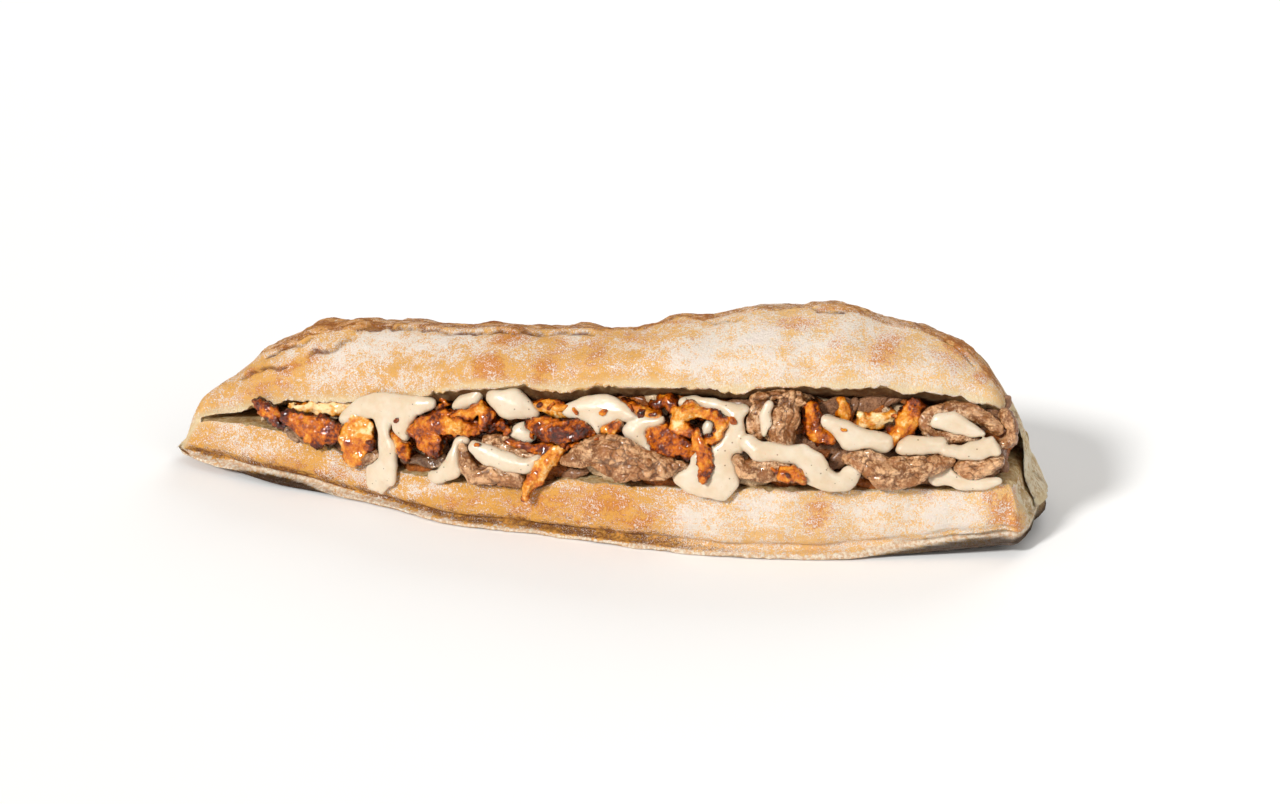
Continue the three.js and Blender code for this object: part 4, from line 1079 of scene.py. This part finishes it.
def build_onion(look):
    """The strips of fried onion with their frills and blisters, and the fried crumbs on the filling."""
    pieces = []
    for i, name in enumerate(node_names("onion")):
        made = refined(name, look.mesh_size, 4, 0.25)
        mesh = made.data
        points, normals = points_of(mesh), normals_of(mesh)
        outward = face_direction(points[:, 0])
        facing = np.abs((normals * outward).sum(axis=1))
        rim = 1 - smooth(facing, 0.1, 0.7)
        along = grain_axes(points)
        tone = ONION_TONE.get(name, 0.0)
        fold = rough_noise(points, 5.5, 2, i + 7)
        vein = 1 - 2 * np.abs(rough_noise(along * [0.3, 1, 1], 1.6, 2, i + 5))
        crisp = 1 - 2 * np.abs(rough_noise(points, 1.9, 3, i + 13))
        burnt = smooth(rough_noise(points, 6, 2, i + 15) + tone, -0.35, 0.4)
        near, _, kind = cells(points, 1.3, i + 11)
        bubble = smooth(-near, -0.55, -0.1) * (kind > 0.5)
        frill = soft_noise(points, 2.0, i + 19) + 0.5 * soft_noise(points, 1.0, i + 23)
        out = (FOLD * fold + VEIN * vein * (1 - burnt) + CRISP * (crisp - 0.35) * burnt + BLISTER * bubble
               + FRILL * frill * rim)
        bent = BEND * fold - 0.5 * rim * burnt
        set_points(mesh, points + (normals * out[:, None] + outward * bent[:, None]) * look.relief)
        write_attributes(mesh, rim=rim, hollow=smooth(-crisp, -0.3, 0.6), burnt=burnt,
                         smear=sauce_nearby(points, 1.6), tone=tone - 1.1 * patches(points, GLASSY))
        pieces.append(made)
    onion = joined(pieces, "fried_onion")
    names = ("cream_sauce", "beef", "fried_onion")
    under = [bpy.data.objects[name] for name in names if name in bpy.data.objects]
    onion = joined([onion, build_crumbs(under)], "fried_onion")
    onion.data.materials.append(onion_finish(look))
    return onion


# Little fried crumbs on top of the filling: across, up and half their length in the front view, in mm.
CRUMBS = [(-32.5, -1.0, 1.2), (-29, -1.2, 1.5), (-25, -2.0, 1.7), (-21, -3.0, 1.3), (-46, -7, 1.2),
          (-43, -9.5, 1.5), (-3, -2.0, 1.6), (0.5, -3.6, 1.7), (4, -4.0, 1.2), (23, -11, 1.0), (-50, -4, 1.0),
          (-12, -3.5, 1.4), (44, -22.5, 1.5), (48, -24, 1.2), (66, -9.0, 1.1), (83, -4.5, 1.3), (-14, -12, 1.0),
          (30, -6, 1.3), (-35, -11, 1.2), (-79, -6, 1.1), (-88, -13, 1.2), (-53, -14, 1.1), (53, -24.5, 1.1),
          (-8, -8, 1.1)]


def build_crumbs(pieces):
    """The little fried crumbs, each stuck on the piece that the eye meets there from the front."""
    rng = np.random.default_rng(5)
    graph = bpy.context.evaluated_depsgraph_get()
    trees = [BVHTree.FromObject(piece, graph) for piece in pieces]
    eye = VIEW_TARGET + VIEW_TOWARDS * VIEW_DISTANCE
    points, faces, start = [], [], 0
    for across, up, length in CRUMBS:
        ray = VIEW_TARGET + VIEW_RIGHT * across + VIEW_UP * up - eye
        hits = [tree.ray_cast(Vector(((eye + SHIFT) * MM).tolist()), Vector(ray.tolist())) for tree in trees]
        hits = [hit for hit in hits if hit[0] is not None]
        if not hits:
            continue
        spot = np.array(min(hits, key=lambda hit: hit[3])[0]) / MM - SHIFT
        shape = (length, length * rng.uniform(0.4, 0.75), length * rng.uniform(0.35, 0.6))
        made, more = scrap_shape(rng, spot + 0.3 * VIEW_TOWARDS, shape)
        points.append(made)
        faces += [[i + start for i in face] for face in more]
        start += len(made)
    crumbs = make_object("crumbs", np.vstack(points), faces)
    points = points_of(crumbs.data)
    push_out(crumbs.data, CRUMB_LUMP * rough_noise(points, 1.1, 3, 131))
    tone = soft_noise(points, 9, 133)
    write_attributes(crumbs.data, rim=0.3, hollow=0.3, burnt=0.5 + 0.4 * tone, smear=0, tone=0.3 * tone)
    return crumbs


def onion_finish(look):
    f = Finish("fried onion")
    mottle = f.grain(4.5, 3)
    spot = f.grain(1.6, 3)
    fine = f.grain(0.6, 3)
    heat = (f.attribute("tone") * 0.32 + f.attribute("rim") * 0.36 + f.attribute("burnt") * 0.24 + 0.38
            + (mottle - 0.5) * 0.45 + (spot - 0.5) * 0.24 + (fine - 0.5) * 0.12 + f.attribute("hollow") * 0.16)
    glassy, burnt = srgb(240, 206, 150), srgb(34, 8, 0)
    colour = heat.ramp((0.0, glassy), (0.24, tuple(look.amber)), (0.5, tuple(look.orange)),
                       (0.74, tuple(look.brown)), (1.0, burnt))
    smear = (f.attribute("smear") * 0.7 + (spot - 0.5) * 0.8).step(0.5, 1.0)
    colour = (smear * 0.5).tint(colour, srgb(232, 190, 136))
    f.set(Base_Color=colour, Roughness=(spot * 0.2 + 0.2), Specular_IOR_Level=0.15,
          Coat_Weight=(mottle * 0.7 + 0.3), Coat_Roughness=0.05, Subsurface_Weight=0.1, Subsurface_Scale=0.002)
    f.bump(spot * 0.75 + fine * 0.25, 0.22)
    return f.material


# Pools of sauce that stay clear of the ones beside them, and how far their edges draw in for that, in mm.
APART = ("sauce_on_slice", "sauce_hook_end", "sauce_round_end", "sauce_finger", "sauce_in_ring",
         "sauce_on_shreds")
POOL_GAP = 0.45


def build_sauce(look):
    """The pools and ribbons of sauce, run together where they touch."""
    pieces = []
    for i, name in enumerate(node_names("sauce")):
        made = refined(name, look.mesh_size, 10, 0.25)
        points, normals = points_of(made.data), normals_of(made.data)
        outward = face_direction(points[:, 0])
        sideways = normals - outward * (normals * outward).sum(axis=1, keepdims=True)
        ripple = (-POOL_GAP if name in APART else 0.0) + RIPPLE * soft_noise(points, 4.5, i)
        ripple = ripple + FINE_RIPPLE * soft_noise(points, 2.2, i + 50)
        set_points(made.data, points + sideways * ripple[:, None])
        pieces.append(made)
    sauce = remeshed(joined(pieces, "cream_sauce"), look.mesh_size)
    relax(sauce.data, 7, 0.12)
    push_out(sauce.data, WAVE * rough_noise(points_of(sauce.data), 5, 2, 71))
    sauce.data.materials.clear()
    shade_smooth(sauce.data)
    sauce.data.materials.append(sauce_finish(look))
    return sauce


def sauce_finish(look):
    f = Finish("cream sauce")
    swirl = f.grain(6, 3)
    pepper = (f.specks(2.6) * -1.0 + 0.115).step(0.0, 0.035)
    paprika = (f.specks(1.7, (0.013, 0.007, 0.002)) * -1.0 + 0.09).step(0.0, 0.03)
    colour = swirl.tint(tuple(look.shade), tuple(look.cream))
    colour = (paprika * 0.5).tint(colour, srgb(196, 126, 70))
    colour = (pepper * 0.7).tint(colour, srgb(86, 56, 34))
    f.set(Base_Color=colour, Roughness=(swirl * 0.08 + 0.28), Coat_Weight=0.3, Coat_Roughness=0.08,
          Subsurface_Weight=0.15, Subsurface_Scale=0.003)
    f.bump(f.noise(2.2, 2, 0.5), 0.15)
    return f.material


def scrap_shape(rng, centre, shape):
    """Points and faces of a bent scrap in the heap's face. Its shape is half its length, width and depth."""
    rows, columns = 13, 16
    a, b = np.linspace(0.12, np.pi - 0.12, rows), np.linspace(0, 2 * np.pi, columns, endpoint=False)
    a, b = np.meshgrid(a, b, indexing="ij")
    length, wide, thick = shape
    local = np.stack([np.cos(a) * length, np.sin(a) * np.cos(b) * wide, np.sin(a) * np.sin(b) * thick], axis=-1)
    local[..., 1] += rng.uniform(-0.1, 0.1) * local[..., 0] ** 2 / length
    turn = rng.uniform(-1.1, 1.1)
    outward = face_direction(centre[:1])[0]
    level = np.array([-outward[1], outward[0], 0]) / np.hypot(outward[0], outward[1])
    rise = np.cross(outward, level) * -1
    first = level * math.cos(turn) + rise * math.sin(turn)
    second = np.cross(outward, first)
    placed = centre + local @ np.stack([first, second, outward])
    return closed_tube(placed)


# How far apart the scraps lie, along and up, in mm.
SCRAP_PITCH = (6.4, 5.6)


def build_scraps():
    """Small bits of beef and onion that fill the gaps behind the pieces that show."""
    rng = np.random.default_rng(11)
    points, faces, kinds = [], [], []
    start = 0
    for x in np.arange(-108, 130, SCRAP_PITCH[0]):
        low, high = lower_lip_z(x) + 2.2, upper_lip_z(x) - 3.5 - crumb_drop(x)
        for z in np.arange(low, high, SCRAP_PITCH[1]):
            px, pz = x + rng.uniform(-2, 2), min(z + rng.uniform(-1.5, 1.5), high)
            y = front(px) + LIP_INSET + FACE_SLOPE * (pz - lower_lip_z(px)) + rng.uniform(3.0, 4.6)
            length = min(rng.uniform(4, 7.5), (high - low) * 0.55 + 2)
            shape = (length, rng.uniform(0.3, 0.55) * length, rng.uniform(1.1, 1.7))
            made, more = scrap_shape(rng, np.array([px, y, pz]), shape)
            points.append(made)
            faces += [[i + start for i in face] for face in more]
            kinds.append(np.full(len(made), rng.uniform()))
            start += len(made)
    return np.vstack(points), faces, np.concatenate(kinds)


def build_core(look):
    """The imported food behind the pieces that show, with scraps in its gaps."""
    core = refined("filling_core", look.mesh_size, 3, 0.0)
    mesh = core.data
    points, normals = points_of(mesh), normals_of(mesh)
    near, next_near, kind = cells((points + 1.5 * drift(points, 5, 90)) * [0.6, 1, 1], 4.6, 93)
    # Grooves between the lumps, cut into the relief and darkened with painted shade in the material.
    groove = 1 - smooth(next_near - near, 0.04, 0.3)
    forward = smooth(-normals[:, 1], 0.0, 0.5)
    out = HEAP_LUMP * kind - HEAP_GROOVE * groove + HEAP_GRAIN * rough_noise(points, 2, 3, 97)
    push_out(mesh, out * (0.35 + 0.65 * forward) * look.relief)
    write_attributes(mesh, bundle=kind, groove=groove)
    points, faces, kinds = build_scraps()
    scraps = make_object("scraps", points, faces)
    points = points_of(scraps.data)
    out = SCRAP_BEND * rough_noise(points, 3.2, 3, 111) + SCRAP_GRAIN * rough_noise(points, 1.2, 2, 113)
    push_out(scraps.data, out * look.relief)
    # The scraps' dents are darkened with painted shade in the material.
    write_attributes(scraps.data, bundle=kinds, groove=smooth(-out, 0.2, 1.0))
    core = joined([core, scraps], "packed_filling")
    core.data.materials.append(filling_finish(look))
    return core


def filling_finish(look):
    f = Finish("packed filling")
    mottle = f.grain(2.2, 4)
    bundle = f.attribute("bundle")
    colour = bundle.step(0.4, 0.42).tint(tuple(look.meat), tuple(look.onion))
    colour = (mottle.step(0.3, 1.0) * 0.5).tint(colour, srgb(84, 44, 18))
    # Painted shade: near black in the grooves and dents.
    colour = (f.attribute("groove") * 0.6).tint(colour, srgb(44, 24, 10))
    colour = (bundle.step(0.84, 0.86) * 0.85).tint(colour, tuple(look.sauce))
    f.set(Base_Color=colour, Roughness=(mottle * 0.25 + 0.25), Coat_Weight=0.2, Coat_Roughness=0.2)
    f.bump(f.grain(0.8, 3), 0.45)
    return f.material


# ---- the stage

# How far the floor reaches each way, in metres.
FLOOR_REACH = 6.0
SKY_COLOUR = (1, 0.99, 0.97, 1)
# Each lamp's name, kind, place in metres, and its width in metres or, for the sun, in degrees.
LAMPS = [
    ("key", "SUN", (-0.95, -1.9, 1.25), 9),
    ("fill", "AREA", (1.5, -1.4, 1.2), 1.2),
    ("rear", "AREA", (0.5, 2.0, 1.7), 1.5),
]


def looking(direction):
    """The rotation of a lamp or camera that looks along a direction."""
    return direction.to_track_quat("-Z", "Y").to_euler()


def build_floor(look):
    """The pale floor, one large square."""
    corners = np.array([[-1, -1, 0], [1, -1, 0], [1, 1, 0], [-1, 1, 0]]) * FLOOR_REACH / MM
    floor = make_object("floor", corners - SHIFT, [(0, 1, 2, 3)])
    f = Finish("pale floor")
    f.set(Base_Color=tuple(look.floor), Roughness=0.9)
    floor.data.materials.append(f.material)
    return floor


def add_lights(look, scene):
    """The lamps, and the light from all sides."""
    for name, kind, place, width in LAMPS:
        light = bpy.data.lights.new(name, kind)
        light.energy = getattr(look, name)
        if kind == "SUN":
            light.angle = math.radians(width)
        else:
            light.size = width
        lamp = bpy.data.objects.new(name, light)
        lamp.location = place
        lamp.rotation_euler = looking(-Vector(place))
        scene.collection.objects.link(lamp)
    scene.world = scene.world or bpy.data.worlds.new("studio")
    scene.world.use_nodes = True
    sky = scene.world.node_tree.nodes.get("Background")
    sky.inputs["Color"].default_value = SKY_COLOUR
    sky.inputs["Strength"].default_value = look.around


def add_camera(look, scene):
    """A camera that looks from where the photo was taken."""
    camera = bpy.data.objects.new("camera", bpy.data.cameras.new("camera"))
    target = Vector(((VIEW_TARGET + SHIFT) * MM).tolist())
    towards = Vector(VIEW_TOWARDS.tolist())
    camera.location = target + towards * VIEW_DISTANCE * MM
    camera.rotation_euler = looking(-towards)
    camera.data.lens = look.lens
    scene.collection.objects.link(camera)
    return camera


# ---- settings, one group for each piece

def colour_setting(name, rgb, description):
    return FloatVectorProperty(name=name, description=description, default=srgb(*rgb), size=3, subtype="COLOR",
                               min=0, max=1)


def relief_setting():
    return FloatProperty(name="Relief", description="How strongly the surface stands out", default=1.0, min=0,
                         max=3)


def mesh_setting(size):
    return FloatProperty(name="Mesh size", description="Length of a face's side, in millimetres", default=size,
                         min=0.2, max=3)


class LoafLook(bpy.types.PropertyGroup):
    relief: relief_setting()
    golden: colour_setting("Golden", (240, 176, 86), "Crust at the left and near the base")
    cream: colour_setting("Cream", (250, 200, 130), "Crust at the right")
    honey: colour_setting("Honey", (216, 144, 58), "Darker mottling of the crust")
    toasted: colour_setting("Toasted", (218, 136, 58), "Toasted patches")
    # Base brown: the bake towards the base, with painted shade above the rim.
    base_brown: colour_setting("Base brown", (132, 80, 34), "Crust where it turns under")
    ridge: colour_setting("Ridge", (154, 80, 28), "Torn ridge along the top")
    flour: colour_setting("Flour", (255, 244, 232), "Dusting of flour")


class BeefLook(bpy.types.PropertyGroup):
    relief: relief_setting()
    mesh_size: mesh_setting(0.36)
    deep: colour_setting("Deep", (118, 70, 30), "Darker bundles of fibre")
    light: colour_setting("Light", (224, 176, 128), "Lighter bundles of fibre")
    warm: colour_setting("Warm", (174, 110, 56), "Browned stretches")


class OnionLook(bpy.types.PropertyGroup):
    relief: relief_setting()
    mesh_size: mesh_setting(0.36)
    amber: colour_setting("Amber", (222, 146, 44), "Softly fried onion")
    orange: colour_setting("Orange", (190, 94, 2), "Fried onion")
    brown: colour_setting("Brown", (104, 34, 0), "Dark fried onion")


class SauceLook(bpy.types.PropertyGroup):
    mesh_size: mesh_setting(0.45)
    cream: colour_setting("Cream", (212, 196, 172), "Sauce")
    shade: colour_setting("Shade", (205, 182, 151), "Warmer drifts in the sauce")


class CoreLook(bpy.types.PropertyGroup):
    relief: relief_setting()
    mesh_size: mesh_setting(0.75)
    meat: colour_setting("Meat", (160, 112, 76), "Beef in the heap")
    onion: colour_setting("Onion", (184, 100, 26), "Onion in the heap")
    sauce: colour_setting("Sauce", (236, 206, 164), "Sauce that has run into the heap")


class StageLook(bpy.types.PropertyGroup):
    """The settings key, fill and rear are each called as their lamp is."""
    floor: colour_setting("Floor", (250, 249, 247), "The floor")
    key: FloatProperty(name="Key light", description="Strength of the main light", default=3.0, min=0)
    fill: FloatProperty(name="Fill light", description="Power of the second light", default=11.0, min=0,
                        unit="POWER")
    rear: FloatProperty(name="Rear light", description="Power of the light from behind", default=20.0, min=0,
                        unit="POWER")
    around: FloatProperty(name="Light all round", description="Strength of the light from all sides",
                          default=0.36, min=0)
    lens: FloatProperty(name="Lens", description="Focal length of the camera, in millimetres", default=78.0,
                        min=10)


# ---- operators

class SANDWICH_OT_loaf(bpy.types.Operator):
    """Build the slit loaf with its crust and crumb"""
    bl_idname = "sandwich.loaf"
    bl_label = "Loaf"

    def execute(self, context):
        piece = build_loaf(context.scene.sandwich_loaf)
        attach(piece, "root")
        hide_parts("bread")
        return {"FINISHED"}


class SANDWICH_OT_beef(bpy.types.Operator):
    """Build the strips and scraps of beef"""
    bl_idname = "sandwich.beef"
    bl_label = "Beef"

    def execute(self, context):
        names = node_names("beef")
        piece = build_beef(context.scene.sandwich_beef)
        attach(piece, "root")
        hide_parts(*names)
        return {"FINISHED"}


class SANDWICH_OT_onion(bpy.types.Operator):
    """Build the strips, rings and scraps of fried onion"""
    bl_idname = "sandwich.onion"
    bl_label = "Fried onion"

    def execute(self, context):
        names = node_names("onion")
        piece = build_onion(context.scene.sandwich_onion)
        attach(piece, "root")
        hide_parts(*names)
        return {"FINISHED"}


class SANDWICH_OT_sauce(bpy.types.Operator):
    """Build the ribbons and pools of cream sauce"""
    bl_idname = "sandwich.sauce"
    bl_label = "Cream sauce"

    def execute(self, context):
        names = node_names("sauce")
        piece = build_sauce(context.scene.sandwich_sauce)
        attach(piece, "root")
        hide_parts(*names)
        return {"FINISHED"}


class SANDWICH_OT_core(bpy.types.Operator):
    """Build the heap behind the pieces that show"""
    bl_idname = "sandwich.core"
    bl_label = "Packed filling"

    def execute(self, context):
        piece = build_core(context.scene.sandwich_core)
        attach(piece, "root")
        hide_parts("filling_core")
        return {"FINISHED"}


class SANDWICH_OT_stage(bpy.types.Operator):
    """Add the floor, the lights and the camera"""
    bl_idname = "sandwich.stage"
    bl_label = "Stage"

    def execute(self, context):
        look = context.scene.sandwich_stage
        floor = build_floor(look)
        add_lights(look, context.scene)
        context.scene.camera = add_camera(look, context.scene)
        context.scene.view_settings.view_transform = "Standard"
        return {"FINISHED"}


class SANDWICH_PT_panel(bpy.types.Panel):
    """Lists the pieces of the sandwich"""
    bl_idname = "SANDWICH_PT_panel"
    bl_label = "Submarine sandwich"
    bl_space_type = "VIEW_3D"
    bl_region_type = "UI"
    bl_category = "Sandwich"

    def draw(self, context):
        for operator, group in zip(OPERATORS, GROUPS):
            box = self.layout.box()
            box.operator(operator.bl_idname)
            settings = getattr(context.scene, group)
            for name in settings.__annotations__:
                box.prop(settings, name)


OPERATORS = (SANDWICH_OT_loaf, SANDWICH_OT_core, SANDWICH_OT_beef, SANDWICH_OT_onion, SANDWICH_OT_sauce,
             SANDWICH_OT_stage)
GROUPS = {
    "sandwich_loaf": LoafLook,
    "sandwich_core": CoreLook,
    "sandwich_beef": BeefLook,
    "sandwich_onion": OnionLook,
    "sandwich_sauce": SauceLook,
    "sandwich_stage": StageLook,
}


def register():
    for group in GROUPS.values():
        bpy.utils.register_class(group)
    for operator in OPERATORS:
        bpy.utils.register_class(operator)
    bpy.utils.register_class(SANDWICH_PT_panel)
    for name, group in GROUPS.items():
        setattr(bpy.types.Scene, name, PointerProperty(type=group))


def unregister():
    for name in GROUPS:
        delattr(bpy.types.Scene, name)
    bpy.utils.unregister_class(SANDWICH_PT_panel)
    for item in (*reversed(OPERATORS), *GROUPS.values()):
        bpy.utils.unregister_class(item)


def main():
    register()
    bpy.ops.sandwich.loaf()
    bpy.ops.sandwich.core()
    bpy.ops.sandwich.sauce()
    bpy.ops.sandwich.beef()
    bpy.ops.sandwich.onion()
    bpy.ops.sandwich.stage()


if __name__ == "__main__":
    main()
